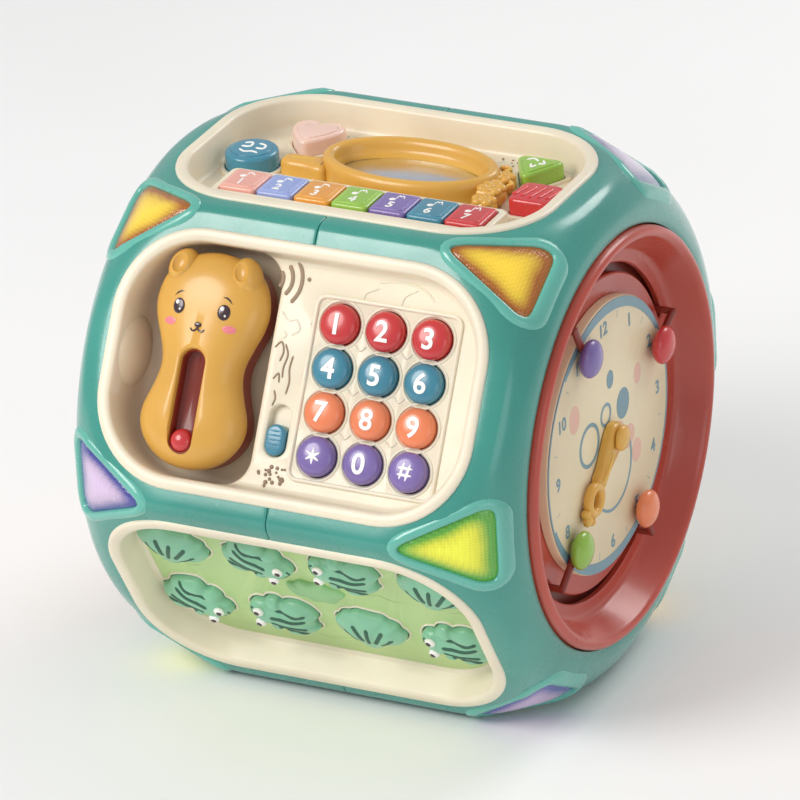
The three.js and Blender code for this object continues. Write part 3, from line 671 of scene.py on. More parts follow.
def shell_half(name, sign):
    """Half of the shell: a skin from the seam to the end ring, open at panels and lenses, then thickened."""
    rows = [(x, dip, barrel(x)) for x, dip in [(0.15, -0.7), (0.2, -0.3), (0.45, -0.08), (0.9, 0)]]
    rows += [(x, 0, barrel(x)) for x in np.arange(2.5, 84.2, 1.9)]
    rows += [(x, 0, r) for x, r in BARREL if x > BARREL_ROWS]
    rows += [(SHELL_END, 0, 84.6), (94.6, 0, 83.6), (92, 0, 83.4), (80, 0, 83.4)]
    half = np.array([0, 0.35, 0.7, 1.1, 1.5, 2.1, 2.8, *np.arange(3.6, 23.5, 0.8), 25, 27, 29])
    offsets = np.radians(np.concatenate([-half[:0:-1], half]))
    angles = np.concatenate([math.radians(corner) + offsets for corner in sorted(LENS_LOOKS)])
    deltas = np.tile(offsets, len(LENS_LOOKS))
    rings = []
    for x, dip, most in rows:
        radius = shell_radius(deltas, most) + dip
        rings.append(np.stack([np.full_like(radius, x * sign), -radius * np.cos(angles),
                               radius * np.sin(angles)], 1))
    rings = np.array(rings)
    middle = (rings[:-1] + rings[1:]) / 2
    x, y, z = ((middle + np.roll(middle, -1, 1)) / 2).reshape(-1, 3).T
    r, turn = np.hypot(y, z), np.degrees(np.arctan2(z, -y))
    from_face, from_corner = np.radians(turn % 60 - 30), np.radians((turn + 30) % 60 - 30)
    gone = inside(np.abs(x), r * np.sin(from_face), panel_outline(PANEL_LAP))
    gone |= inside(np.abs(x), r * np.sin(from_corner), offset(LENS, LENS_MARGIN))
    bm = skin(rings)
    # The last two faces are the skin's caps.
    bmesh.ops.delete(bm, geom=[face for face, hole in zip(bm.faces, [*gone, True, True]) if hole],
                     context="FACES")
    obj = add(name, bm, Matrix.Translation((0, 0, AXIS_Z)) @ Matrix.Scale(MM, 4), "teal")
    first = obj.data.polygons[0]
    if first.normal.dot(first.center - Vector((0, 0, AXIS_Z))) < 0:
        obj.data.flip_normals()
    wall = obj.modifiers.new("wall", "SOLIDIFY")
    wall.thickness = SHELL_WALL * MM
    wall.offset = -1
    obj.data = evaluated_mesh(obj)
    obj.modifiers.clear()
    smooth_shading(obj.data, 50)


shell_half("shell_right", 1)
shell_half("shell_left", -1)


# --- lenses and their raised surrounds
def lens_surround(name, sign, corner):
    # The surround is drawn in the paler teal, which is a painted highlight.
    profile = [(-0.6, -1.4), (-0.5, 0.3), (-0.1, 0.85), (0.7, 1.15), (1.8, 1.15), (2.8, 0.75), (3.5, 0.15),
               (4.0, -0.7), (1.7, -1.2)]
    rings = [on_shell(offset(LENS, grow), height, sign) for grow, height in profile]
    for ring in rings:
        ring[:, 2] = np.minimum(ring[:, 2], CORNER_W - 0.02 * np.abs(ring[:, 1]))
    add(name, skin(rings, closed=True), side_matrix(corner), "teal_painted_highlight")


def lens_window(name, sign, corner, look, replaces):
    """A lens a little below the shell, thin and slightly domed; spread runs from its middle to its edge."""
    rows = [(0.06, -3.2), (1, -3.2), (1, -1.0), (0.97, -0.6), (0.86, -0.25), (0.66, 0.1), (0.45, 0.3),
            (0.25, 0.42), (0.06, 0.5)]
    middle = LENS.mean(0)
    rings = [on_shell(middle + (offset(LENS, -0.2) - middle) * s, height, sign) for s, height in rows]
    obj = add(name, skin(rings), side_matrix(corner), look, replaces=replaces)
    spread = obj.data.attributes.new("spread", "FLOAT", "POINT")
    spread.data.foreach_set("value", np.repeat([s ** 1.6 for s, _ in rows], len(LENS)))


for corner, looks in LENS_LOOKS.items():
    for end, sign, look in (("right", 1, looks[0]), ("left", -1, looks[1])):
        label = f"{end}_{corner % 360:03d}"
        lens_surround(f"lens_surround_{label}", sign, corner)
        lens_window(f"lens_{label}", sign, corner, look, [f"lens_ring_{end}"] if corner == 60 else ())


# --- end rings
def turned(name, matrix, profile, look, steps=128, angle=40, closed=True):
    """A CAD node's finer stand-in, turned about the prism's axis."""
    return add(name, lathe(profile, steps=steps, closed=closed), matrix, look, angle=angle)


RING_R, _, LIP = local_box("clock_ring", CLOCK_END)[1]
RING_FLOOR = 85.0
RING_PROFILE = [(40, 82.5), (73.2, 82.5), (78.8, 93), (80.4, 93.2), (80.6, 79), (RING_R, 79), (RING_R, 95.2),
                (RING_R - 0.3, 96.6), (RING_R - 1.2, 97.6), (RING_R - 2.5, LIP), (RING_R - 3.6, 97.75),
                (RING_R - 4.5, 96.9), (RING_R - 5.2, 95.6), (75.4, 90.4), (73.7, 87.3), (73.0, 86.1),
                (72.0, 85.3), (70.8, RING_FLOOR), (69, RING_FLOOR), (61, RING_FLOOR), (40, RING_FLOOR)]
SLOT_R, SLOT_HALF = 65.0, 1.9
# Where the clock's two slots start and end, in degrees clockwise from straight up.
SLOT_ARCS = [(-28, 68), (149, 231)]
WELL_HALF, WELL_FLOOR, WELL_TOP = 4.4, 78.9, 82.6


def slot_outline(half, start, end):
    """A curved slot with round ends."""
    first, last = 90 - end, 90 - start
    return np.concatenate([arc(0, 0, SLOT_R + half, first, last, 60),
                           arc(*SLOT_R * direction(last), half, last, last + 180, 11)[1:-1],
                           arc(0, 0, SLOT_R - half, last, first, 60),
                           arc(*SLOT_R * direction(first), half, first + 180, first + 360, 11)[1:-1]])


clock_ring = turned("clock_ring", CLOCK_END, RING_PROFILE, "rose")
cut_profile = [(SLOT_HALF, 79), (SLOT_HALF, RING_FLOOR - 0.5), (SLOT_HALF + 0.6, RING_FLOOR + 0.01),
               (SLOT_HALF + 0.6, RING_FLOOR + 4)]
well_profile = [(WELL_HALF + 1, WELL_FLOOR - 1), (WELL_HALF + 1, WELL_TOP), (WELL_HALF, WELL_TOP),
                (WELL_HALF, WELL_FLOOR)]
for i, span in enumerate(SLOT_ARCS):
    add(f"clock_slot_well_{i + 1}", loft(lambda half: slot_outline(half, *span), well_profile), CLOCK_END,
        "terracotta")
carve(clock_ring, [loft(lambda half: slot_outline(half, *span), cut_profile) for span in SLOT_ARCS],
      CLOCK_END, angle=40)
turned("drum_ring", DRUM_END, RING_PROFILE, "rose")


# --- clock dial
def clock_spot(angle, r):
    """A point on the dial, by its clockwise angle from straight up."""
    return r * direction(90 - angle)


(_, _, DIAL_LOW), (DIAL_R, _, DIAL_TOP) = local_box("clock_dial", CLOCK_END)
DIAL_HOLE = 3.3
turned("clock_dial", CLOCK_END,
       [(DIAL_HOLE, DIAL_LOW), (DIAL_R, DIAL_LOW), (DIAL_R, DIAL_TOP - 0.9), (DIAL_R - 0.3, DIAL_TOP - 0.3),
        (DIAL_R - 0.9, DIAL_TOP), (DIAL_HOLE, DIAL_TOP)], "dial")
lines = bmesh.new()
# Each circle: its radius, its line's width and its middle.
for r, width, x, y in ((DIAL_R - 0.9, 0.9, 0, 0), (8.2, 1.6, -17, 3.5), (4.2, 1.3, -1.5, 9.5),
                       (16.5, 1.2, 3, -16)):
    inner, outer = r - width / 2, r + width / 2
    lathe([(inner, DIAL_TOP - SINK), (inner, DIAL_TOP + 0.13), (outer, DIAL_TOP + 0.13),
           (outer, DIAL_TOP - SINK)], x, y, 72, lines, closed=True)
for hour in range(12):
    stroke([clock_spot(hour * 30 + 15, DIAL_R - r) for r in (5.4, 8.4)], 0.7, 0.25, DIAL_TOP, lines)
add("dial_lines", lines, CLOCK_END, "dial_blue")
for side, (start, end) in (("upper", (-42, 62)), ("lower", (140, 250))):
    rings = []
    for share in np.linspace(0, 1, 50):
        width = 3.6 * math.sin(0.25 + (math.pi - 0.5) * share) ** 0.6 + 0.6
        outer, inner = (clock_spot(start + (end - start) * share, DIAL_R - 0.5 - w) for w in (0, width))
        edge = ((outer, -0.3), (outer, 0.1), (inner, 0.1), (inner, -0.3))
        rings.append([(*spot, DIAL_TOP + w) for spot, w in edge])
    add(f"dial_border_{side}", skin(rings), CLOCK_END, "dial_blue", angle=30)
numerals = bmesh.new()
for hour in range(1, 13):
    numeral(str(hour), 5.6, 0.16, clock_spot(hour * 30, DIAL_R - 9.5), lambda x, y: DIAL_TOP, numerals)
add("dial_numerals", numerals, CLOCK_END, "dial_blue", angle=30)
# Each look's ovals stand at their own height, so that no two faces lie in one plane.
SPOTS = {"dial_blue": (0.1, [(14, 7.5, 5.6, 6.4), (3.5, 22.5, 3.0, 3.8)]),
         "dial_pink": (0.05, [(9, -4, 5.4, 5.8), (18, -8.5, 5.4, 4.8), (24.5, -17.5, 4.2, 5.0),
                              (-29, 20, 4.6, 5.8), (28, 14, 3.2, 4.4)])}
for look, (height, ovals) in SPOTS.items():
    bm = bmesh.new()
    for x, y, rx, ry in ovals:
        outline = ellipse(rx, ry, x, y, 40)
        skin([at(outline, DIAL_TOP - SINK), at(outline, DIAL_TOP + height)], bm)
    add(f"{look}_spots", bm, CLOCK_END, look, angle=30)

# Hand: a tapered body with a raised spine, a pierced loop and a small bud at its tip.
HAND_ANGLE = -131.0
HAND_LOOP = 27.0
HAND_BACK, HAND_TOP = heights("clock_hand", CLOCK_END)
HAND_MIDDLE = (HAND_BACK + HAND_TOP) / 2


def hand_frame(points):
    """Turns points drawn with the hand straight up to where the hand points."""
    return rotated(points, -HAND_ANGLE)


body = smooth_loop([(-5.6, -2), (0, -6.2), (5.6, -2), (5.2, 6), (3.4, 14), (3.2, 20.5), (0, 21.5),
                    (-3.2, 20.5), (-3.4, 14), (-5.2, 6)], 5)
hole = hand_frame(np.roll(circle(3.4, steps=len(body)), len(body) * 5 // 8, 0))
thick = [(0.0, HAND_BACK), (0.0, HAND_TOP - 2.0), (0.5, HAND_TOP - 1.0), (1.4, HAND_TOP - 0.3)]
hand = skin([at(hole, HAND_BACK), *(at(hand_frame(offset(body, -i)), w) for i, w in thick),
             at(hole, HAND_TOP - 0.1)], closed=True)
lathe(ellipse(1.9, 2.1, 5.3, HAND_MIDDLE, 12), *hand_frame([(0, HAND_LOOP)])[0], 40, hand, closed=True)
for dx, dy, r in ((0, 8.8, 2.6), (-3.3, 7.6, 1.9), (3.3, 7.6, 1.9)):
    ball([*hand_frame([(dx, HAND_LOOP + dy)])[0], HAND_MIDDLE], (r, r, 1.9), hand, 20, 10)
add("clock_hand", hand, CLOCK_END, "gold")
spine = [(0, 5.5), (0, 10), (0, 15), (0, 20)]
add("clock_hand_spine", stroke(hand_frame(spine), 2.2, 0.9, HAND_TOP - 0.4), CLOCK_END, "gold", "clock_hand")
PIVOT_LOW, PIVOT_HIGH = heights("hand_pivot", CLOCK_END)
turned("hand_pivot", CLOCK_END,
       [(0, PIVOT_LOW), (3.0, PIVOT_LOW), (3.0, 94.8), (5.0, 94.8), (5.2, 95.2), (5.1, 96),
        (4.3, 96.9), (2.8, 97.4), (0, PIVOT_HIGH)], "gold", 48, 50, False)

# Beads: a glossy egg with a cap, on a dark arm that hooks into its slot.
BEAD_R, BEAD_WIDE, BEAD_MIDDLE = 48.0, 7.6, 93.9
for colour, angle in (("purple", -26), ("red", 66), ("orange", 151), ("green", 229)):
    node = f"clock_bead_{colour}"
    low, high = heights(node, CLOCK_END)
    knob, foot = clock_spot(angle, BEAD_R), clock_spot(angle, SLOT_R)
    egg = [(BEAD_WIDE * math.sin(a), BEAD_MIDDLE - (high - BEAD_MIDDLE) * math.cos(a))
           for a in np.linspace(0, math.pi, 25)]
    add(node, lathe(egg, *knob), CLOCK_END, "lime" if colour == "green" else colour)
    arm = tube([(*(knob + (foot - knob) * s), 91.4 - 0.6 * s) for s in np.linspace(0.2, 1, 9)], 1.5, 14)
    lathe([(1.4, low + 1.6), (1.4, 91.6), (1.1, 92.1), (0.4, 92.4)], *foot, 24, arm)
    lathe([(3.9, low), (3.9, low + 1.8), (3.5, low + 2.1)], *foot, 24, arm)
    add(f"{node}_arm", arm, CLOCK_END, "terracotta", node)

# Drum: a soft pad with rings, and coloured studs round a sun.
(_, _, PAD_LOW), (PAD_R, _, PAD_HIGH) = local_box("drum_pad", DRUM_END)
GROOVES = [(46, 49), (26, 28)]
GROOVE_DEPTH = 0.7


def pad_top(r):
    return PAD_HIGH - 1.6 * (r / PAD_R) ** 2


pad = [(0.1, PAD_LOW), (PAD_R, PAD_LOW), (PAD_R, 90.0), (PAD_R - 0.5, 90.8),
       (PAD_R - 1.6, pad_top(PAD_R - 1.6))]
pad += [(r, pad_top(r) - GROOVE_DEPTH * any(a < r < b for a, b in GROOVES))
        for r in np.arange(59.5, 0, -0.75)]
turned("drum_pad", DRUM_END, [*pad, (0.1, PAD_HIGH)], "cream", 96, closed=False)
STUD_RING = 37
top = pad_top(STUD_RING)
for i, look in enumerate(["red", "piano_orange", "lime", "steel_blue", "purple", "pink"]):
    stud = lathe([(5.6, top - 0.8), (5.6, top + 0.1), (5.0, top + 0.45), (3.4, top + 0.7), (0.1, top + 0.8)],
                 *clock_spot(60 * i, STUD_RING), 36)
    add(f"drum_stud_{i + 1}", stud, DRUM_END, look, "drum_pad")
sun = lathe([(8.5, pad_top(0) - 1), (8.5, pad_top(8) + 0.1), (7.6, pad_top(8) + 0.3), (4, pad_top(4)),
             (0.1, PAD_HIGH)])
rays = [[clock_spot(60 * i + 30, r) for r in (11.5, 21)] for i in range(6)]
add("drum_sun", strokes(rays, 3.2, 0.7, pad_top(17) - 0.1, sun), DRUM_END, "piano_orange", "drum_pad")


# --- panels
RIM_INNER = 5.3
RIM = [(3.3, 100.5), (0.1, 100.6), (0, 101.2), (0.22, 101.85), (0.75, 102.3), (1.7, RIM_W), (3.3, RIM_W),
       (4.3, 102.28), (4.95, 101.75), (RIM_INNER, 100.9)]
WALL = 2.0
# The gap round a key, a door or a glass.
CLEARANCE = 0.3


def tray(name, matrix, floor, fillet=3.0, lean=0.5):
    """A panel with its rounded rim, a wall that leans in a little and a fillet round its floor."""
    corner = [(RIM_INNER + lean + fillet * x, floor + fillet * y) for x, y in quarter(6)]
    profile = [(3.3, floor - WALL), *RIM, (RIM_INNER + lean * 0.6, floor + fillet + 1.2), *corner]
    return add(name, loft(lambda inset: panel_outline(inset, 16), profile), matrix, "cream", angle=35)


def plug(outline, base, top, flare=0.0):
    """A cutter that opens a hole through a floor, with its top edge eased by flare."""
    edge = [(flare * 0.4, top - flare * 0.35), (flare * 1.1, top + 0.01)] if flare else []
    return loft(lambda grow: offset(outline, grow),
                [(0, base), (0, top - flare), *edge, (flare * 1.1, top + 6)])


# --- phone side
PLATE = 93.5
KEY_LOW, KEY_HIGH = local_box("keypad_r1_c1", PHONE)
KEY_R = (KEY_HIGH - KEY_LOW)[0] / 2
KEYS = {(row, column): local_centre(f"keypad_r{row}_c{column}", PHONE)
        for row in range(1, 5) for column in range(1, 4)}
KEYPAD_MIDDLE = (KEYS[1, 1] + KEYS[4, 3]) / 2
FRAME_X, FRAME_Y = 30.3, 35.3
CRADLE_FLOOR = heights("handset_back", PHONE)[0] - CLEARANCE
CRADLE_RIGHT = -14.5
CRADLE_INSET = 5.5
SLIDER_MIDDLE = np.array([-5.3, -21.0])


def cradle_outline(grow, flare=0.0):
    left = -PANEL_X + CRADLE_INSET - grow
    half = PANEL_Y - CRADLE_INSET + grow
    corner = PANEL_CORNER - CRADLE_INSET + grow
    return rounded(left, CRADLE_RIGHT + grow + flare, -half, half, [12, corner, corner, 12], 14)


phone_panel = tray("phone_panel", PHONE, PLATE)
cup = loft(cradle_outline,
           [(-4, CRADLE_FLOOR - WALL), (-0.5, CRADLE_FLOOR - WALL + 0.6), (1.4, CRADLE_FLOOR + 1.5),
            (1.9, CRADLE_FLOOR + 5), (1.9, PLATE - 0.6)])
slider_bed = eased(rrect(6.4, 12, 6, *SLIDER_MIDDLE), 88, PLATE - 0.5, 0.3)
carve(phone_panel, [cup, slider_bed], PHONE, "UNION")
cradle = [((grow, 0), CRADLE_FLOOR + rise) for grow, rise in (
    (-7, 0), (-4.2, 0.35), (-2.2, 1.3), (-0.9, 2.9), (-0.3, 5), (-0.1, 9))]
cradle += [((0, flare), PLATE + lift) for flare, lift in (
    (0, -1.7), (0.25, -0.8), (0.75, -0.25), (1.7, 0.02), (1.7, 12))]
cutters = [loft(lambda size: cradle_outline(*size), cradle),
           plug(rrect(4.4, 10, 4.3, *SLIDER_MIDDLE), 90, PLATE, 0.8)]
cutters += [plug(circle(KEY_R + CLEARANCE, *spot), PLATE - 6, PLATE, 0.7) for spot in KEYS.values()]
carve(phone_panel, cutters, PHONE)
# A soft bulge on the cradle's outer wall, where fingers get under the handset.
add("cradle_finger_bulge", ball((-PANEL_X + 3.2, 0, 86), (6.0, 15, 15), steps=48, rows=28), PHONE, "cream")


def phone_lines(name, lines, width, height, look, bm=None):
    """Raised lines on the phone's plate, as one piece. Taupe ones stand in for grooves, with the grooves' shade
    painted on.
    """
    add(name, strokes(lines, width, height, PLATE, bm, 7), PHONE, look)


keypad_frame = ridge(lambda d: rrect(FRAME_X + d, FRAME_Y + d, 4 + d, *KEYPAD_MIDDLE, 12), 1.7, 1.0, PLATE)
frame_lines = [[(26, 40.5), (31, 41.6), (37, 41.9), (42, 41.2), (46.5, 39.6), (50, 36.5)]]
for (row, column), spot in KEYS.items():
    ridge(lambda d: circle(KEY_R + 1.5 + d, *spot), 1.0, 0.4, PLATE, keypad_frame)
    if row < 4 and column < 3:
        x, y = (spot + KEYS[row + 1, column + 1]) / 2
        frame_lines.append([(x - 2.4, y + 1.8), (x, y - 0.2), (x + 2.4, y + 1.8)])
frame_top = KEYPAD_MIDDLE[1] + FRAME_Y
for x, height in ((20.5, 6.0), (36.5, 7.6)):
    frame_lines.append([(x, frame_top + 1), (x + 1.2, frame_top + height * 0.6), (x + 6, frame_top + height)])
phone_lines("keypad_frame", frame_lines, 0.8, 0.5, "cream", keypad_frame)
# The sound waves are grooves, drawn as raised taupe lines: painted groove shade.
SOUND = np.array([-18.5, 36.0])
waves = [[SOUND + r * direction(a) for a in (-42, -20, 0, 20, 42)] for r in (4.5, 8.5, 12.5)]
sound_dot = dot(0.8, PLATE, 0.5, 0.2, 7, -3.2, 37.5, 16)
phone_lines("sound_waves", waves, 1.7, 0.55, "taupe_shade_and_print", sound_dot)
phone_lines("raised_doodles", [[(-12, 24), (-9, 21), (-5.5, 21.5), (-3.5, 18), (-6.5, 15.5)],
                               [(0.5, 26), (2.5, 23.5), (0.8, 21), (2.6, 18.5)],
                               [(-10, 16.8), (-8.6, 15.2), (-10, 13.8)]], 0.75, 0.4, "cream")
# The taupe doodles below are painted groove shade, like the waves; the speckles are printed dots.
speckles = bmesh.new()
rng = np.random.default_rng(4)
for _ in range(22):
    x, y = rng.uniform(-11, 1), rng.uniform(-44.5, -34.5)
    dot(rng.uniform(0.45, 0.95), PLATE, rng.uniform(0.3, 0.6), 0.1, 4, x, y, 10, speckles)
phone_lines("printed_doodles",
            [[(-12.5, 10), (-10, 12.5), (-8.5, 9), (-9.5, 5)],
             [(-8.2, 12), (-6.5, 8), (-7.4, 3), (-7.2, -1)], [(-4.2, 8), (-4.8, 3), (-4.0, -2), (-4.6, -7)],
             [(-11, -2), (-9, 0.5), (-8.2, -3)], [(-9.6, -6), (-8.6, -9), (-9.4, -12)]], 0.75, 0.4, "taupe_shade_and_print",
            speckles)

# Each row of the keypad: its look and its signs.
KEY_ROWS = [("red", "123"), ("steel_blue", "456"), ("orange", "789"), ("purple", "*0#")]
# The star and the hash are bars: the angle, how far they are moved sideways, and half their length.
KEY_BARS = {"*": [(angle, 0, 3.1) for angle in (30, 90, 150)],
            "#": [(0, -1.3, 3.0), (0, 1.3, 3.0), (80, -1.3, 3.3), (80, 1.3, 3.3)]}
# Where a key's straight side ends and its dome starts.
KEY_SIDE = 95.2


def key_height(distance):
    """A key's dome: nearly flat in the middle, rounding over to its side."""
    share = np.clip(distance / KEY_R, 0, 1)
    return float(KEY_SIDE + (KEY_HIGH[2] - KEY_SIDE) * (1 - share ** 3.2) ** 0.55)


def key_sign(sign, spot):
    """The sign on the dome of the key at a spot."""
    def on_key(x, y):
        return key_height(math.hypot(x - spot[0], y - spot[1]))
    if sign not in KEY_BARS:
        return numeral(sign, 8.2, 0.28, spot, on_key)
    bm = bmesh.new()
    for angle, shift, half in KEY_BARS[sign]:
        middle = spot + shift * direction(angle + 90)
        stroke([middle + half * s * direction(angle) for s in (-1, -0.5, 0, 0.5, 1)], 1.15, 0.3, on_key, bm)
    return bm


for (row, column), spot in KEYS.items():
    node = f"keypad_r{row}_c{column}"
    look, signs = KEY_ROWS[row - 1]
    radii = [KEY_R * s for s in (1, 0.997, 0.985, 0.96, 0.92, 0.86, 0.78, 0.66, 0.5, 0.3, 0.1, 0.01)]
    add(node, lathe([(KEY_R, KEY_LOW[2]), *((r, key_height(r)) for r in radii)], *spot, 56), PHONE, look)
    add(f"{node}_numeral", key_sign(signs[column - 1], spot), PHONE, "white", node, 40)

knob_low, knob_top = heights("volume_slider", PHONE)
x, y = local_centre("volume_slider", PHONE)
knob = eased(rrect(4.0, 6.0, 3.9, x, y, 12), knob_low, knob_top - 0.5, 1.3)
for i in range(-2, 3):
    half = 2.9 - 0.3 * abs(i)
    stroke([(x + dx, y + 1.7 * i) for dx in (-half, 0, half)], 0.8, 0.6, knob_top - 0.55, knob)
add("volume_slider", knob, PHONE, "steel_blue")

# --- handset
(FRONT_LEFT, _, FRONT_LOW), (FRONT_RIGHT, _, FRONT_TOP) = local_box("handset_front", PHONE)
BACK_LOW, BACK_TOP = heights("handset_back", PHONE)
HAND_X = (FRONT_LEFT + FRONT_RIGHT) / 2
# The handset's right side, as (height, half width).
HALF_WIDTHS = [(42, 0), (41.2, 6.5), (39.2, 12.2), (35.6, 17.6), (30, 21.4), (22, 23.2), (15, 22.2),
               (8, 19.4), (1, 16.9), (-5, 16.7), (-12, 18.6), (-19, 21.2), (-25, 21.7), (-31, 19.6),
               (-36.5, 14.8), (-40.2, 8.2), (-41.5, 0)]
SPINE_TOP, SPINE_FOOT = 19.0, -20.0
FRONT_EDGE = 93.6
BACK_EDGE = BACK_LOW + 5.5
handset_side = [(half, y) for y, half in HALF_WIDTHS]
handset_loop = smooth_loop([*handset_side[::-1], *[(-half, y) for half, y in handset_side[1:-1]]], 4)


def handset_outline(share):
    """The handset's outline drawn in towards its spine."""
    spine = np.stack([np.zeros(len(handset_loop)), np.clip(handset_loop[:, 1], SPINE_FOOT, SPINE_TOP)], 1)
    return spine + (handset_loop - spine) * share + np.array([HAND_X, 0])


def bulge(share):
    """How much of a shell's crown is left at a share of the way out from its spine."""
    return (1 - share ** 2.5) ** 0.5


def front_height(x, y):
    """The front's crowned surface."""
    heights, halves = np.array(HALF_WIDTHS[::-1], float).T
    reach = np.interp(y, heights, halves)
    if y > SPINE_TOP:
        reach = heights[-1] - SPINE_TOP
    if y < SPINE_FOOT:
        reach = SPINE_FOOT - heights[0]
    share = min(math.hypot(x - HAND_X, y - np.clip(y, SPINE_FOOT, SPINE_TOP)) / reach, 1)
    return FRONT_EDGE + (FRONT_TOP - FRONT_EDGE) * bulge(share)


SHARES = [1, 0.998, 0.99, 0.975, 0.95, 0.915, 0.87, 0.81, 0.74, 0.65, 0.54, 0.4, 0.25, 0.1]
front = [(0.97, FRONT_LOW), (0.995, FRONT_LOW + 0.5), (1, FRONT_LOW + 1.2)]
front += [(s, FRONT_EDGE + (FRONT_TOP - FRONT_EDGE) * bulge(s)) for s in SHARES]
handset_front = add("handset_front", loft(handset_outline, front), PHONE, "gold", "handset", 60)
# The handset's slot: half its width, its ends and the height of its bed.
GROOVE_HALF, GROOVE_TOP, GROOVE_FOOT, GROOVE_BED = 5.2, -1.0, -31.0, 97.2
groove_line = rrect(GROOVE_HALF, (GROOVE_TOP - GROOVE_FOOT) / 2 + GROOVE_HALF, GROOVE_HALF - 0.05, HAND_X,
                    (GROOVE_TOP + GROOVE_FOOT) / 2, 14)


def along_groove(profile):
    return loft(lambda grow: offset(groove_line, grow), profile)


def ear_pair(out, y, w, radii, steps, rows):
    return [ball((HAND_X + dx, y, w), radii, steps=steps, rows=rows, tilt=dx * 1.2) for dx in (-out, out)]


carve(handset_front, ear_pair(13.5, 34.4, 96.2, (5.8, 7.6, 6.8), 32, 18), PHONE, "UNION")
groove = along_groove([(-1.2, GROOVE_BED), (-0.3, GROOVE_BED + 0.4), (0, GROOVE_BED + 1.4),
                       (0, FRONT_TOP - 1.4), (0.4, FRONT_TOP - 0.6), (1.4, FRONT_TOP + 0.1),
                       (1.4, FRONT_TOP + 3)])
carve(handset_front, [groove, *ear_pair(13.0, 36.4, 102.8, (3.1, 4.5, 2.4), 28, 14)], PHONE)
lining = along_groove([(-0.15, GROOVE_BED - 0.6), (-0.05, GROOVE_BED + 0.6), (-0.05, FRONT_TOP - 2.6),
                       (-0.7, FRONT_TOP - 2.3), (-0.8, GROOVE_BED + 0.5), (-1.2, GROOVE_BED + 0.25)])
add("handset_groove", lining, PHONE, "terracotta", "handset")
back = [(s * 0.955, BACK_EDGE - (BACK_EDGE - BACK_LOW) * bulge(s)) for s in SHARES[::-1]]
back += [(0.958, BACK_TOP - 1), (0.958, BACK_TOP + 0.1)]
add("handset_back", loft(handset_outline, back), PHONE, "terracotta", "handset", 60)


def face_spot(bm, dx, y, rx, ry, lift):
    """A thin oval on the front's crown: printed features, and white painted highlights on the eyes."""
    rings = []
    for share, up_by in ((1, -SINK), (1, lift * 0.4), (0.9, lift * 0.8), (0.6, lift), (0.05, lift * 1.1)):
        flat = ellipse(rx * share, ry * share, HAND_X + dx, y, 36)
        rings.append([(a, b, front_height(a, b) + up_by) for a, b in flat])
    skin(rings, bm)


# Each oval: its look, how far out and how much further to the right it is, its height, radii and lift.
FACE = [("ink", 9.6, 0, 19.5, 2.5, 3.0, 0.45), ("white", 9.6, -0.7, 20.9, 0.85, 0.95, 0.75),
        ("white", 9.6, 0.8, 18.3, 0.45, 0.5, 0.75), ("blush", 12.6, 0, 13.4, 2.6, 1.5, 0.2)]
face = {"ink": bmesh.new(), "white": bmesh.new(), "blush": bmesh.new()}
for sign in (-1, 1):
    for look, out, shift, y, rx, ry, lift in FACE:
        face_spot(face[look], out * sign + shift, y, rx, ry, lift)
    brow = [(HAND_X + (8.4 + 1.3 * i) * sign, 25.2 + 0.35 * i - 0.35 * i * i) for i in range(4)]
    mouth = [(HAND_X + dx * sign, y) for dx, y in ((0, 12.4), (0.8, 11.2), (2.0, 10.9), (3.0, 11.9))]
    stroke(brow, 0.8, 0.4, front_height, face["ink"])
    stroke(smooth_path(mouth, 5), 0.75, 0.4, front_height, face["ink"])
face_spot(face["ink"], 0, 13.4, 1.5, 1.0, 0.5)
# The white ovals are painted highlights on the eyes.
for look, part in (("ink", "features"), ("white", "glints"), ("blush", "cheeks")):
    add(f"bear_{part}", face[look], PHONE, look, "handset")

(left, _, low), (right, _, high) = local_box("handset_bead", PHONE)
r = (right - left) / 2
add("handset_bead", lathe([(r * 0.86, low), (r, 98.7), (r, 99.6), (r * 0.96, 100.8), (r * 0.84, 102.0),
                           (r * 0.62, 103.0), (r * 0.3, 103.5), (0.1, high)],
                          *local_centre("handset_bead", PHONE), 40), PHONE, "red", angle=60)


# --- top side: piano, buttons and mirror
DECK = 89.5
HOUSING_TOP = 97.2
SEAT_TOP = 90.7
PIANO_LOOKS = ["pink", "periwinkle", "piano_orange", "lime", "purple", "steel_blue", "red"]
PIANO_LOW, PIANO_HIGH = local_box("piano_key_1", TOP)
PIANO_END = local_box("piano_key_7", TOP)[1][0]
PIANO_Y = local_centre("piano_key_1", TOP)[1]
KEY_X, KEY_Y = (PIANO_HIGH - PIANO_LOW)[:2] / 2


def heart(size):
    right = [(0, 0.60), (0.22, 0.86), (0.56, 0.95), (0.9, 0.74), (1.0, 0.36), (0.86, -0.08), (0.55, -0.5),
             (0.2, -0.88)]
    left = [(-x, y) for x, y in right[:0:-1]]
    return smooth_loop(np.array([*right, (0, -0.97), *left][::-1]) * size, 5)


# Each button: its look, its marks' look, its outline and the lines on it, from its middle.
BUTTONS = {"round": ("steel_blue", "white", circle(10.6, steps=56),
                     [[(-4.5, 3.2), (-1.5, 4.2), (-1.2, 0.8), (-4.6, 0.2)],
                      [(1.2, 4.4), (4.4, 3.4), (4.6, 0.4), (1.6, 0.2)],
                      [(-4.2, -2.6), (-1.2, -4.2), (1.6, -3.2), (4.4, -3.8)]]),
           "heart": ("peach", "peach", heart(10.8), [[(-6.2, 3.0), (-4.4, 5.4), (-2.0, 5.2)]]),
           "triangle": ("lime", "white", rounded_polygon([(-11.5, 9), (0, -11.5), (11.5, 9)], 6.5, 9),
                        [[(-4.5, 3.4), (-2, 5), (0.5, 3.4)], [(1.8, 4.6), (3.6, 2.2), (1.4, 1.2)],
                         [(-1.5, 0.6), (0, -2.4), (1.2, 0)]]),
           "ribbed": ("red", "red", rrect(9, 8.6, 3.4, steps=8), [])}


def raised(outline, base, top, ease):
    """A solid over a button's outline with its top edge rounded by ease."""
    return eased(outline, base, top, ease, resized, 7)


